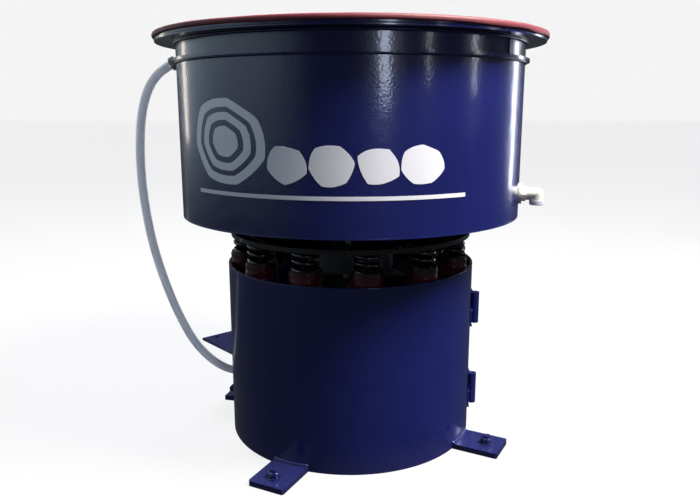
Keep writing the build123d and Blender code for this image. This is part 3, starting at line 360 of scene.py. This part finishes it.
def lay_beads(name, body, seams, bead, spacing=0.0025, share=0.22):
    """Lay painted beads along seams, each a row of points, as one piece on a body."""
    points, edges = [], []
    for seam in seams:
        first = len(points)
        points += [tuple(p) for p in seam]
        edges += [(first + i, first + i + 1) for i in range(len(seam) - 1)]
    path = bpy.data.meshes.new(name)
    path.from_pydata(points, edges, [])
    piece = grown_by(name, weld_tree, weld_sockets, path, {
        "Bead Radius": bead, "Ripple Spacing": spacing, "Ripple Share": share, "Material": blue_enamel})
    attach(piece, body)


drum_radius, bowl_radius = 0.2285, 0.305


def level_arc(radius, start, end, height, step=1.5):
    """Points along a level arc between two azimuths."""
    count = max(2, int(abs(end - start) / step) + 1)
    return [on_azimuth(start + (end - start) * i / (count - 1), radius, height)
            for i in range(count)]


foot_azimuths = (-26.5, 61.5, 152.0)
foot_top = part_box("foot_plates")[1].z
half_foot = 8.1
foot_seams = [level_arc(drum_radius + 0.001, a - half_foot, a + half_foot, foot_top + 0.001)
              for a in foot_azimuths]
lug_low, lug_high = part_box("tie_down_lug")[0].z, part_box("tie_down_lug")[1].z
corner_seam, lug_seam = (-126, -105.8), (-121, -106)
foot_seams.append(level_arc(drum_radius + 0.001, *corner_seam, foot_top + 0.001))
foot_seams.append(level_arc(drum_radius + 0.001, *lug_seam, lug_high + 0.001))
lay_beads("foot_welds", "base", foot_seams, bead=0.0026)

shelf_low, shelf_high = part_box("pump_shelf")[0].z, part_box("pump_shelf")[1].z
pump_azimuth = -138.7
shelf_seams = [level_arc(drum_radius + 0.001, pump_azimuth - 45, pump_azimuth + 45, level)
               for level in (shelf_high + 0.001, shelf_low - 0.001)]
for turn in (-15.2, 15.2):
    for lean in (-0.75, 0.75):
        azimuth = pump_azimuth + turn + lean
        shelf_seams.append([on_azimuth(azimuth, drum_radius + 0.0008, shelf_low - 0.002 - drop)
                            for drop in (0.0, 0.01, 0.02, 0.033)])
lay_beads("pump_shelf_welds", "base", shelf_seams, bead=0.0022)

hinge_azimuth, hinge_middles, door_radius = 88.0, (0.064, 0.228), 0.2325
hinge_seams = []
for middle in hinge_middles:
    for height in (middle - 0.0305, middle - 0.0005):
        hinge_seams.append(level_arc(
            drum_radius + 0.0022, hinge_azimuth - 6, hinge_azimuth - 2.2, height))
    hinge_seams.append([
        on_azimuth(hinge_azimuth - 6.1, drum_radius + 0.001, middle - 0.030 + 0.003 * i)
        for i in range(11)])
lay_beads("hinge_welds", "base", hinge_seams, bead=0.0018)
door_seams = [[on_azimuth(hinge_azimuth + 9.1, door_radius + 0.0008, middle + 0.001 + 0.0028 * i)
               for i in range(11)] for middle in hinge_middles]
door_seams += [level_arc(door_radius + 0.0013, hinge_azimuth + 4.5, hinge_azimuth + 9, middle + 0.0305)
               for middle in hinge_middles]
handle_azimuth, handle_ends, handle_bead = 163, (0.105, 0.195), 0.0052
for end in handle_ends:
    ring = [(handle_bead * cos(radians(turn)), handle_bead * sin(radians(turn)))
            for turn in range(0, 361, 30)]
    door_seams.append([on_azimuth(handle_azimuth, door_radius, end)
                       + on_azimuth(handle_azimuth + 90, along, up) for along, up in ring])
lay_beads("door_welds", "door", door_seams, bead=0.0016)

hoop_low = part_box("hoop_ring")[0].z
under_flange, seam_azimuth = 0.7085, 52.5
bowl_seams = [level_arc(bowl_radius + 0.0012, 0, 360, under_flange, step=2.0)]
bowl_seams.append(level_arc(bowl_radius + 0.0008, 0, 360, hoop_low - 0.0008, step=2.0))
# The rolled skirt closes with one upright seam, left proud between the hoop and the flange.
bowl_seams.append([on_azimuth(seam_azimuth, bowl_radius + 0.0005, height)
                   for height in (0.684, 0.69, 0.697, 0.7055)])
lay_beads("bowl_welds", "bowl", bowl_seams, bead=0.0022)

plate_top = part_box("spring_plate")[1].z
first_gusset = 22.7
gusset_seams = []
for number in range(6):
    azimuth = first_gusset + 60 * number
    for lean in (-0.0036, 0.0036):
        out, across = on_azimuth(azimuth, 1, 0), on_azimuth(azimuth + 90, 1, 0)
        gusset_seams.append([out * r + across * lean + Vector((0, 0, plate_top + 0.001))
                             for r in (0.130, 0.160, 0.190, 0.217)])
lay_beads("gusset_welds", "bowl", gusset_seams, bead=0.0024)


# ---- Dressed edges -----------------------------------------------------------
# The cut edges of the drum, the skirt and the flange are ground round before they are
# painted, so each carries a thin bright line. They are beads without ripples.
plate_lip, flange_lip = 0.0022, 0.0030
drum_top, skirt_foot, flange_out, flange_level = 0.3215, 0.4165, 0.3365, 0.713
for name, body, radius, height, bead in (
        ("drum_edge", "base", drum_radius - 0.002, drum_top, plate_lip),
        ("skirt_edges", "bowl", bowl_radius - 0.002, skirt_foot, plate_lip),
        ("flange_edge", "bowl", flange_out, flange_level, flange_lip)):
    lay_beads(name, body, [level_arc(radius, 0, 360, height, step=2.0)], bead, spacing=1.0, share=0.0)


# ---- Feet fasteners ----------------------------------------------------------
# Each foot has a hex nut over a washer on a levelling screw. They were on the machine
# when it was sprayed, so they carry the same enamel, with rounded hex corners.
def turned(name, section, steps, material):
    """A closed shape round the z axis: section(angle) gives its closed outline as (r, z)."""
    points, faces = [], []
    size = len(section(0.0))
    for step in range(steps):
        angle = 2 * pi * step / steps
        points += [(r * sin(angle), -r * cos(angle), z) for r, z in section(angle)]
    for step in range(steps):
        near, far = step * size, ((step + 1) % steps) * size
        for i in range(size):
            j = (i + 1) % size
            faces.append((near + i, near + j, far + j, far + i))
    return mesh_piece(name, points, faces, material)


def nut_section(across, bore, height):
    """A hex nut's outline at each angle: flats, chamfered corners and a threaded bore."""
    def section(angle):
        corner = (angle + pi / 6) % (pi / 3) - pi / 6
        hexagon = across / cos(corner)
        cut = max(0.0, hexagon - across) * 0.6 + 0.0003
        rows = [(bore + 0.0007, 0.0), (across * 0.985, 0.0), (hexagon, cut),
                (hexagon, height - cut), (across * 0.985, height), (bore + 0.0007, height)]
        turns = 5
        for i in range(turns * 2 - 1):
            rows.append((bore + (0.0006 if i % 2 else 0.0), height - height * (i + 1) / (turns * 2)))
        return rows
    return section


repeat_tree = bpy.data.node_groups.new("set_out", "GeometryNodeTree")
repeat_sockets = {}
for label, kind in (("Geometry", "NodeSocketGeometry"), ("Piece", "NodeSocketObject"),
                    ("Turn", "NodeSocketFloat"), ("Material", "NodeSocketMaterial")):
    repeat_sockets[label] = repeat_tree.interface.new_socket(
        label, in_out="INPUT", socket_type=kind).identifier
repeat_tree.interface.new_socket("Geometry", in_out="OUTPUT", socket_type="NodeSocketGeometry")
repeat_in = add_node(repeat_tree, "NodeGroupInput")
repeat_one = add_node(repeat_tree, "GeometryNodeObjectInfo", {"Object": repeat_in.outputs["Piece"]})
repeat_index = add_node(repeat_tree, "GeometryNodeInputIndex")
repeat_turn = add_node(repeat_tree, "ShaderNodeMath", {
    0: repeat_index.outputs[0], 1: repeat_in.outputs["Turn"]}, operation="MULTIPLY")
repeat_spin = add_node(repeat_tree, "FunctionNodeAxisAngleToRotation", {
    "Axis": (0.0, 0.0, 1.0), "Angle": repeat_turn.outputs[0]})
repeat_set = add_node(repeat_tree, "GeometryNodeInstanceOnPoints", {
    "Points": repeat_in.outputs["Geometry"], "Instance": repeat_one.outputs["Geometry"],
    "Rotation": repeat_spin.outputs[0]})
repeat_real = add_node(repeat_tree, "GeometryNodeRealizeInstances", {"Geometry": repeat_set.outputs[0]})
repeat_painted = add_node(repeat_tree, "GeometryNodeSetMaterial", {
    "Geometry": repeat_real.outputs[0], "Material": repeat_in.outputs["Material"]})
add_node(repeat_tree, "NodeGroupOutput", {"Geometry": repeat_painted.outputs[0]})


def set_out(name, pattern, places, turn, material):
    """Repeat a pattern piece at places, each turned a little more about z than the last."""
    spots = bpy.data.meshes.new(name)
    spots.from_pydata([tuple(p) for p in places], [], [])
    piece = grown_by(name, repeat_tree, repeat_sockets, spots, {
        "Piece": pattern, "Turn": turn, "Material": material})
    bpy.data.objects.remove(pattern)
    return piece


washer_top = foot_top + 0.002
corner_azimuth, screw_circle = -104.3, 0.280
corner_out, corner_across = on_azimuth(corner_azimuth, 1, 0), on_azimuth(corner_azimuth + 90, 1, 0)
foot_spots = [on_azimuth(a, screw_circle, washer_top) for a in foot_azimuths]
foot_spots.append(corner_out * 0.246 + corner_across * -0.080 + Vector((0, 0, washer_top)))
foot_spots.append(corner_out * 0.249 + corner_across * -0.027 + Vector((0, 0, lug_low - 0.009)))
nut_pattern = turned(
    "nut_pattern", nut_section(across=0.00944, bore=0.0061, height=0.009), 48, blue_enamel)
foot_nuts = set_out("foot_hex_nuts", nut_pattern, foot_spots, 0.9, blue_enamel)
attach(foot_nuts, "base")
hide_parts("foot_nuts")


# ---- Springs -----------------------------------------------------------------
# Twelve compression springs of 8 mm round wire, coiled hot, closed at both ends and
# dipped in black gloss enamel. They stand in the cups and carry the ring plate.
black_enamel_and_shade, black_tree, black_shader = new_material(
    "black_dipped_enamel_and_painted_shade", Roughness=0.2, IOR=1.5, Coat_Weight=0.7, Coat_Roughness=0.05)
black_place = add_node(black_tree, "ShaderNodeTexCoord")
black_cloud = add_node(black_tree, "ShaderNodeTexNoise", {
    "Vector": black_place.outputs["Object"], "Scale": 60.0, "Detail": 4.0})
black_tint = add_node(black_tree, "ShaderNodeMix", {
    0: black_cloud.outputs["Fac"], 6: linear("#08080A"), 7: linear("#17171A")}, data_type="RGBA")
black_tree.links.new(black_tint.outputs[2], black_shader.inputs["Base Color"])
black_skin = add_node(black_tree, "ShaderNodeTexNoise", {
    "Vector": black_place.outputs["Object"], "Scale": 500.0, "Detail": 2.0})
black_bump = add_node(black_tree, "ShaderNodeBump", {
    "Strength": 0.2, "Distance": 0.0004, "Height": black_skin.outputs["Fac"]})
black_tree.links.new(black_bump.outputs[0], black_shader.inputs["Normal"])

spring_tree = bpy.data.node_groups.new("coil_springs", "GeometryNodeTree")
spring_sockets = {}
for label, kind in (("Geometry", "NodeSocketGeometry"), ("Turns", "NodeSocketFloat"),
                    ("Coil Radius", "NodeSocketFloat"), ("Rise", "NodeSocketFloat"),
                    ("Wire Radius", "NodeSocketFloat"), ("End Closing", "NodeSocketFloat"),
                    ("Material", "NodeSocketMaterial")):
    spring_sockets[label] = spring_tree.interface.new_socket(
        label, in_out="INPUT", socket_type=kind).identifier
spring_tree.interface.new_socket("Geometry", in_out="OUTPUT", socket_type="NodeSocketGeometry")
spring_in = add_node(spring_tree, "NodeGroupInput")
spring_coil = add_node(spring_tree, "GeometryNodeCurveSpiral", {
    "Resolution": 36, "Rotations": spring_in.outputs["Turns"],
    "Start Radius": spring_in.outputs["Coil Radius"], "End Radius": spring_in.outputs["Coil Radius"],
    "Height": spring_in.outputs["Rise"]})
spring_run = add_node(spring_tree, "GeometryNodeSplineParameter")
spring_ease = add_node(spring_tree, "ShaderNodeMapRange", {
    "Value": spring_run.outputs["Factor"]}, interpolation_type="SMOOTHSTEP")
spring_late = add_node(spring_tree, "ShaderNodeMath", {
    0: spring_ease.outputs[0], 1: spring_run.outputs["Factor"]}, operation="SUBTRACT")
spring_shift = add_node(spring_tree, "ShaderNodeMath", {
    0: spring_late.outputs[0], 1: spring_in.outputs["End Closing"]}, operation="MULTIPLY")
spring_lift = add_node(spring_tree, "ShaderNodeMath", {
    0: spring_shift.outputs[0], 1: spring_in.outputs["Rise"]}, operation="MULTIPLY")
spring_offset = add_node(spring_tree, "ShaderNodeCombineXYZ", {"Z": spring_lift.outputs[0]})
spring_line = add_node(spring_tree, "GeometryNodeSetPosition", {
    "Geometry": spring_coil.outputs[0], "Offset": spring_offset.outputs[0]})
spring_ring = add_node(spring_tree, "GeometryNodeCurvePrimitiveCircle", {"Resolution": 14, "Radius": 1.0})
spring_wire = add_node(spring_tree, "GeometryNodeCurveToMesh", {
    "Curve": spring_line.outputs[0], "Profile Curve": spring_ring.outputs[0],
    "Scale": spring_in.outputs["Wire Radius"], "Fill Caps": True})
spring_set = add_node(spring_tree, "GeometryNodeInstanceOnPoints", {
    "Points": spring_in.outputs["Geometry"], "Instance": spring_wire.outputs[0]})
spring_real = add_node(spring_tree, "GeometryNodeRealizeInstances", {"Geometry": spring_set.outputs[0]})
spring_painted = add_node(spring_tree, "GeometryNodeSetMaterial", {
    "Geometry": spring_real.outputs[0], "Material": spring_in.outputs["Material"]})
add_node(spring_tree, "NodeGroupOutput", {"Geometry": spring_painted.outputs[0]})

spring_low, spring_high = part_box("springs")[0].z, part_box("springs")[1].z
wire_radius, first_spring, spring_circle = 0.004, 7.7, 0.195
spring_spots = bpy.data.meshes.new("spring_spots")
spring_spots.from_pydata(
    [tuple(on_azimuth(first_spring + 30 * i, spring_circle, spring_low + wire_radius))
     for i in range(12)], [], [])
springs = grown_by("coil_springs", spring_tree, spring_sockets, spring_spots, {
    "Turns": 5.5, "Coil Radius": 0.020, "Rise": spring_high - spring_low - 2 * wire_radius,
    "Wire Radius": wire_radius, "End Closing": 0.32, "Material": black_enamel_and_shade})
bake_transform(springs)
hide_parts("springs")
# The ring plate over the springs, with its plugs and gussets, is the same black: painted shade for the
# dark under the bowl.
paint(black_enamel_and_shade, "spring_plugs", "spring_plate", "bowl_gussets")


# ---- Red urethane ------------------------------------------------------------
# The bowl's lining is cast polyurethane, poured hot and spun out over the rim, so its
# edge wanders and has run over the flange in places. The spring cups are urethane too.
red_urethane, red_tree, red_shader = new_material(
    "red_polyurethane_cast", IOR=1.5, Subsurface_Weight=0.12, Subsurface_Scale=0.006)
red_place = add_node(red_tree, "ShaderNodeTexCoord")
red_cloud = add_node(red_tree, "ShaderNodeTexNoise", {
    "Vector": red_place.outputs["Object"], "Scale": 14.0, "Detail": 5.0, "Roughness": 0.6})
red_tint = add_node(red_tree, "ShaderNodeMix", {
    0: red_cloud.outputs["Fac"], 6: linear("#5E1B26"), 7: linear("#76303A")}, data_type="RGBA")
red_scuff = add_node(red_tree, "ShaderNodeTexNoise", {  # stones leave pale rubs a few mm across
    "Vector": red_place.outputs["Object"], "Scale": 210.0, "Detail": 4.0, "Roughness": 0.7})
red_rubbed = add_node(red_tree, "ShaderNodeMapRange", {
    "Value": red_scuff.outputs["Fac"], "From Min": 0.55, "From Max": 0.8, "To Min": 0.0, "To Max": 0.45})
red_worn = add_node(red_tree, "ShaderNodeMix", {
    0: red_rubbed.outputs[0], 6: red_tint.outputs[2], 7: linear("#8A4C55")}, data_type="RGBA")
red_split = add_node(red_tree, "ShaderNodeSeparateXYZ", {"Vector": red_place.outputs["Object"]})
red_deep = add_node(red_tree, "ShaderNodeMapRange", {  # grey stone slurry dries in the channel
    "Value": red_split.outputs["Z"], "From Min": 0.43, "From Max": 0.56, "To Min": 0.55, "To Max": 0.0})
red_silt = add_node(red_tree, "ShaderNodeMath", {
    0: red_deep.outputs[0], 1: red_cloud.outputs["Fac"]}, operation="MULTIPLY")
red_silted = add_node(red_tree, "ShaderNodeMix", {
    0: red_silt.outputs[0], 6: red_worn.outputs[2], 7: linear("#8C7F7C")}, data_type="RGBA")
red_tree.links.new(red_silted.outputs[2], red_shader.inputs["Base Color"])
red_sheen = add_node(red_tree, "ShaderNodeMapRange", {
    "Value": red_scuff.outputs["Fac"], "From Min": 0.3, "From Max": 0.75, "To Min": 0.50, "To Max": 0.7})
red_tree.links.new(red_sheen.outputs[0], red_shader.inputs["Roughness"])
red_skin = add_node(red_tree, "ShaderNodeBump", {
    "Strength": 0.25, "Distance": 0.0008, "Height": red_scuff.outputs["Fac"]})
red_tree.links.new(red_skin.outputs[0], red_shader.inputs["Normal"])

# The cups are the lining's red urethane painted darker, as painted shade under the bowl, and painted black
# towards the lip, where that shade is deepest.
cup_urethane, cup_tree, cup_shader = new_material(
    "shaded_red_polyurethane_moulded", Roughness=0.24, IOR=1.5, Coat_Weight=0.35, Coat_Roughness=0.12)
cup_place = add_node(cup_tree, "ShaderNodeTexCoord")
cup_cloud = add_node(cup_tree, "ShaderNodeTexNoise", {
    "Vector": cup_place.outputs["Object"], "Scale": 55.0, "Detail": 5.0})
cup_tint = add_node(cup_tree, "ShaderNodeMix", {
    0: cup_cloud.outputs["Fac"], 6: linear("#300A0D"), 7: linear("#5A161B")}, data_type="RGBA")
cup_split = add_node(cup_tree, "ShaderNodeSeparateXYZ", {"Vector": cup_place.outputs["Object"]})
cup_painted_shade = add_node(cup_tree, "ShaderNodeMapRange", {  # painted shade: black towards the lip, deep under the bowl
    "Value": cup_split.outputs["Z"], "From Min": 0.326, "From Max": 0.350},
    interpolation_type="SMOOTHSTEP")
cup_shaded = add_node(cup_tree, "ShaderNodeMix", {
    0: cup_painted_shade.outputs[0], 6: cup_tint.outputs[2], 7: linear("#0E080A")}, data_type="RGBA")
cup_tree.links.new(cup_shaded.outputs[2], cup_shader.inputs["Base Color"])
cup_bump = add_node(cup_tree, "ShaderNodeBump", {
    "Strength": 0.2, "Distance": 0.0008, "Height": cup_cloud.outputs["Fac"]})
cup_tree.links.new(cup_bump.outputs[0], cup_shader.inputs["Normal"])
paint(cup_urethane, "spring_cups")

flange_radius, flange_top, rim_top = 0.339, 0.716, 0.725
rim_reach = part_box("lining_wall")[1].x
channel_middle, channel_level, channel_radius, steel_radius = 0.1955, 0.530, 0.0925, 0.1012
# Each run of urethane over the flange: its azimuth, its width in degrees and its depth.
runs = ((38, 9, 0.0045), (57, 5, 0.007), (66, 12, 0.005), (84, 4, 0.0065), (101, 8, 0.004),
        (143, 6, 0.005), (201, 10, 0.006), (236, 5, 0.004), (292, 8, 0.0035), (341, 5, 0.003))


def lining_section(angle):
    """The lining's closed outline: over the rim, down the wall, round the channel, up the post."""
    azimuth = angle * 180 / pi
    drift = Vector((3 * sin(angle), 3 * cos(angle), 0))
    ragged = noise.noise(drift * 2.3) + 0.5 * noise.noise(drift * 7.1)
    swell = noise.noise(drift * 1.3 + Vector((9, 0, 0)))
    run = sum(depth * 2.718 ** (-((azimuth - at + 180) % 360 - 180) ** 2 / width ** 2)
              for at, width, depth in runs)
    edge = rim_reach - 0.0003 - 0.0012 * abs(ragged)
    lip = flange_top + 0.0004 - 0.35 * run
    top = rim_top - 0.0003 - 0.0007 * abs(swell)
    wave = 0.0007 * swell
    rows = [(flange_radius + 0.0002, lip + 0.0004), (edge - 0.0012, lip - 0.0003), (edge, lip + 0.0012),
            (edge, top - 0.0032), (edge - 0.0012, top - 0.0010), (edge - 0.0040, top),
            (0.3270, top + 0.0002), (0.3120, top), (0.2990, top - 0.0003), (0.2955, top - 0.0014),
            (0.2930, top - 0.0040), (0.2921, top - 0.0080), (0.2918 + wave, 0.690),
            (0.2912 - wave, 0.660), (0.2904 + wave, 0.625), (0.2894, 0.590), (0.2884, 0.560)]
    bends = 26
    for i in range(bends + 1):
        turn = pi * i / bends
        r = channel_radius - 0.0006 * noise.noise(drift * 1.7 + Vector((i * 0.3, 4, 0)))
        rows.append((channel_middle + r * cos(turn), channel_level - r * sin(turn)))
    rows += [(0.1022, 0.560), (0.1005 + wave, 0.595), (0.0990, 0.625), (0.0976, 0.641),
             (0.0965, 0.6452), (0.0945, 0.6459), (0.0903, 0.6459), (0.0903, 0.600), (0.0903, 0.5402)]
    for i in range(bends + 1):
        turn = pi * i / bends
        rows.append((channel_middle - steel_radius * cos(turn),
                     channel_level - steel_radius * sin(turn)))
    rows += [(0.3007, 0.545), (0.3007, 0.640), (0.3007, flange_top + 0.0002),
             (0.3150, flange_top + 0.0002)]
    return rows


lining = turned("cast_lining", lining_section, 360, red_urethane)

# The water inlet and the drain are drilled through the lining.
drill_sides = 32
drillings = (  # azimuth, radius, height, and the radii where it starts and ends
    (-90, 0.0071, 0.6852, 0.270, 0.305),
    (76, 0.0101, 0.455, 0.215, 0.305),
)
drill_points, drill_faces = [], []
for azimuth, radius, height, inner, outer in drillings:
    ends = [on_azimuth(azimuth, inner, height), on_azimuth(azimuth, outer, height)]
    skins = swept_tube(ends, (radius, 0.0), sides=drill_sides)[0]
    first = len(drill_points)
    far = first + drill_sides
    drill_points += skins[:2 * drill_sides]
    ring = range(drill_sides)
    for s in ring:
        t = (s + 1) % drill_sides
        drill_faces.append((first + s, first + t, far + t, far + s))
    drill_faces += [tuple(first + s for s in reversed(ring)), tuple(far + s for s in ring)]
drill = mesh_piece("drill", drill_points, drill_faces, red_urethane)
drilling = lining.modifiers.new("drilling", "BOOLEAN")
drilling.operation = "DIFFERENCE"
drilling.object = drill
drilling.solver = "EXACT"
bpy.context.view_layer.update()
drilled = bpy.data.meshes.new_from_object(
    lining.evaluated_get(bpy.context.evaluated_depsgraph_get()))
lining.modifiers.remove(drilling)
lining.data = drilled
bpy.data.objects.remove(drill)
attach(lining, "bowl")
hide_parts("lining_wall", "lining_channel_outer", "lining_channel_inner")


# ---- Bowl graphic ------------------------------------------------------------
# A plain graphic of tumbled stones over a long band, cut from silver-white vinyl film
# and pressed onto the front of the bowl. It has no lettering.
silver_film, film_tree, film_shader = new_material(
    "silver_white_vinyl_film", Roughness=0.34, IOR=1.46, Metallic=0.12)
film_place = add_node(film_tree, "ShaderNodeTexCoord")
film_fleck = add_node(film_tree, "ShaderNodeTexNoise", {
    "Vector": film_place.outputs["Object"], "Scale": 700.0, "Detail": 2.0})
film_tint = add_node(film_tree, "ShaderNodeMix", {
    0: film_fleck.outputs["Fac"], 6: linear("#CFD1DA"), 7: linear("#DEE0E8")}, data_type="RGBA")
film_tree.links.new(film_tint.outputs[2], film_shader.inputs["Base Color"])
film_bump = add_node(film_tree, "ShaderNodeBump", {
    "Strength": 0.06, "Distance": 0.0004, "Height": film_fleck.outputs["Fac"]})
film_tree.links.new(film_bump.outputs[0], film_shader.inputs["Normal"])
film_back, film_front = bowl_radius + 0.00005, bowl_radius + 0.0004


def stone_outline(middle, width, height, corners, turned_by, share=1.0, count=96):
    """A worn stone's outline as (arc, height) points: a polygon with tumbled corners."""
    outline = []
    wedge = 2 * pi / corners
    for i in range(count):
        turn = 2 * pi * i / count
        lean = (turn + turned_by) % wedge - wedge / 2
        reach_out = (cos(wedge / 2) / cos(lean)) ** 0.45
        reach_out *= 1 + 0.045 * cos(2 * turn + 3 * turned_by) + 0.025 * cos(3 * turn - turned_by)
        outline.append((middle[0] + cos(turn) * width / 2 * reach_out * share,
                        middle[1] + sin(turn) * height / 2 * reach_out * share))
    return outline


def film_shape(inner, outer, steps=8):
    """Points and faces of film between two outlines, wrapped round the bowl."""
    rings = [[(a[0] + (b[0] - a[0]) * k / steps, a[1] + (b[1] - a[1]) * k / steps)
              for a, b in zip(inner, outer)] for k in range(steps + 1)]
    rows = [(ring, film_front) for ring in rings] + [(ring, film_back) for ring in reversed(rings)]
    size = len(outer)
    points = [on_azimuth(arc / bowl_radius * 180 / pi, radius, height)
              for ring, radius in rows for arc, height in ring]
    faces = []
    for row in range(len(rows)):
        after = (row + 1) % len(rows)
        for s in range(size):
            t = (s + 1) % size
            faces.append((row * size + s, row * size + t, after * size + t, after * size + s))
    return points, faces


film_points, film_faces = [], []


def cut_film(inner, outer):
    """Add the film between two outlines to the graphic."""
    points, faces = film_shape(inner, outer)
    first = len(film_points)
    film_points.extend(points)
    film_faces.extend(tuple(first + i for i in face) for face in faces)


big_stone = (-0.203, 0.5535), 0.152, 0.134, 7, 0.35
for ring_from, ring_to in ((0.80, 1.0), (0.50, 0.68), (0.0, 0.36)):  # the bands of a cut agate
    cut_film(stone_outline(*big_stone, ring_from), stone_outline(*big_stone, ring_to))
small_stones = (((-0.094, 0.5225), 0.064, 0.058, 5, 0.4), ((-0.028, 0.5220), 0.070, 0.060, 6, 0.9),
                ((0.040, 0.5215), 0.066, 0.058, 4, 0.5), ((0.106, 0.5225), 0.068, 0.060, 7, 0.2))
for stone in small_stones:
    cut_film(stone_outline(*stone, 0.0), stone_outline(*stone))
band_from, band_to, band_low, band_high = -0.272, 0.182, 0.4725, 0.4785
band_steps = 90
film_first = len(film_points)
for i in range(band_steps + 1):
    arc = band_from + (band_to - band_from) * i / band_steps
    for radius, height in ((film_front, band_low), (film_front, band_high),
                           (film_back, band_high), (film_back, band_low)):
        film_points.append(on_azimuth(arc / bowl_radius * 180 / pi, radius, height))
for i in range(band_steps):
    here = film_first + 4 * i
    film_faces += [(here + a, here + (a + 1) % 4, here + 4 + (a + 1) % 4, here + 4 + a)
                   for a in range(4)]
film_faces += [tuple(film_first + a for a in (0, 3, 2, 1)),
               tuple(film_first + 4 * band_steps + a for a in (0, 1, 2, 3))]
graphic = mesh_piece("bowl_graphic", film_points, film_faces, silver_film, smooth=False)
# The middle of each stone comes to one point, so the doubled points there are joined.
sealing = bmesh.new()
sealing.from_mesh(graphic.data)
bmesh.ops.remove_doubles(sealing, verts=sealing.verts, dist=0.00001)
bmesh.ops.recalc_face_normals(sealing, faces=sealing.faces)
sealing.to_mesh(graphic.data)
sealing.free()
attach(graphic, "bowl")


# ---- Moulded fittings --------------------------------------------------------
# The inlet, the drain elbow and their nuts are injection-moulded acetal and nylon; the
# cable gland, hose elbow and terminal box are black nylon.
def moulded(name, dark, light, rough, grain, depth, **sockets):
    """Moulded plastic: an even colour with faint flow marks and a fine mould texture."""
    material, tree, shader = new_material(name, Roughness=rough, IOR=1.48, **sockets)
    place = add_node(tree, "ShaderNodeTexCoord")
    cloud = add_node(tree, "ShaderNodeTexNoise", {
        "Vector": place.outputs["Object"], "Scale": 40.0, "Detail": 3.0})
    tint = add_node(tree, "ShaderNodeMix", {
        0: cloud.outputs["Fac"], 6: linear(dark), 7: linear(light)}, data_type="RGBA")
    tree.links.new(tint.outputs[2], shader.inputs["Base Color"])
    fine = add_node(tree, "ShaderNodeTexNoise", {
        "Vector": place.outputs["Object"], "Scale": grain, "Detail": 2.0})
    bump = add_node(tree, "ShaderNodeBump", {
        "Strength": 0.25, "Distance": depth, "Height": fine.outputs["Fac"]})
    tree.links.new(bump.outputs[0], shader.inputs["Normal"])
    return material


white_acetal = moulded("white_acetal_moulded", "#C4C4BE", "#D2D2CC", 0.32, 900.0, 0.0002,
                       Subsurface_Weight=0.15, Subsurface_Scale=0.003)
grey_nylon = moulded("grey_nylon_moulded", "#9C9FAA", "#B4B7C2", 0.4, 900.0, 0.0002)
black_nylon = moulded("black_nylon_moulded", "#0E0E10", "#1B1B1E", 0.45, 1200.0, 0.0003)
black_rubber = moulded("black_sheet_rubber", "#101010", "#1C1B1A", 0.7, 500.0, 0.0004)
paint(white_acetal, "inlet_fitting", "inlet_nut", "drain_fitting", "drain_elbow")
paint(grey_nylon, "drain_nut")
paint(black_nylon, "cable_gland", "return_elbow", "terminal_box", "terminal_lid")
paint(black_rubber, "cap_gasket")


# ---- Bare metal and the motor ------------------------------------------------
# Fasteners are zinc plated, the shaft is ground, and the eccentric weights are flame cut
# from plate. The vibrator motor is a cast shell in grey paint round its laminated core.
def bare_metal(name, dark, light, rough, scale, stretch, depth, **sockets):
    """A metal with cloudy colour and marks that run the way it was worked."""
    material, tree, shader = new_material(name, Metallic=1.0, **sockets)
    place = add_node(tree, "ShaderNodeTexCoord")
    cloud = add_node(tree, "ShaderNodeTexNoise", {
        "Vector": place.outputs["Object"], "Scale": 70.0, "Detail": 5.0})
    tint = add_node(tree, "ShaderNodeMix", {
        0: cloud.outputs["Fac"], 6: linear(dark), 7: linear(light)}, data_type="RGBA")
    tree.links.new(tint.outputs[2], shader.inputs["Base Color"])
    rub = add_node(tree, "ShaderNodeMapRange", {
        "Value": cloud.outputs["Fac"], "From Min": 0.3, "From Max": 0.7,
        "To Min": rough - 0.07, "To Max": rough + 0.09})
    tree.links.new(rub.outputs[0], shader.inputs["Roughness"])
    grain = add_node(tree, "ShaderNodeMapping", {"Vector": place.outputs["Object"], "Scale": stretch})
    marks = add_node(tree, "ShaderNodeTexNoise", {
        "Vector": grain.outputs[0], "Scale": scale, "Detail": 3.0})
    bump = add_node(tree, "ShaderNodeBump", {
        "Strength": 0.3, "Distance": depth, "Height": marks.outputs["Fac"]})
    tree.links.new(bump.outputs[0], shader.inputs["Normal"])
    return material


bright_zinc = bare_metal("bright_zinc_plate", "#A9A79C", "#C6C6C2", 0.34, 600.0, (1, 1, 1), 0.0002)
ground_steel = bare_metal("ground_steel", "#A8A9AC", "#C2C3C6", 0.24, 260.0, (0.2, 0.2, 8), 0.0002)
cut_plate = bare_metal("flame_cut_steel_plate", "#3A3A3D", "#5C5B5A", 0.5, 300.0, (1, 1, 0.3), 0.0005)
core_steel = bare_metal("laminated_core_steel", "#55565A", "#707277", 0.45, 90.0, (0.05, 0.05, 12), 0.0006)
wound_copper = bare_metal("varnished_copper_wire", "#8A4A22", "#B9703A", 0.32, 110.0, (1, 1, 6), 0.0010)
pressed_ferrite = bare_metal("pressed_ferrite", "#2B2B2E", "#3C3C40", 0.6, 700.0, (1, 1, 1), 0.0003)
paint(bright_zinc, "cup_bolts", "cup_nuts", "cap_screws", "motor_bolts", "motor_nuts",
      "upper_clamp_screw", "lower_clamp_screw")
paint(ground_steel, "motor_shaft", "motor_bearings", "drain_strainer")
paint(cut_plate, "upper_weight", "lower_weight")
paint(core_steel, "stator", "rotor_core")
paint(wound_copper, "stator_windings")
paint(pressed_ferrite, "door_magnet")
motor_paint = moulded("grey_motor_paint", "#4A4D52", "#5B5F65", 0.42, 350.0, 0.0006, Coat_Weight=0.2)
paint(motor_paint, "motor_housing", "end_bells")
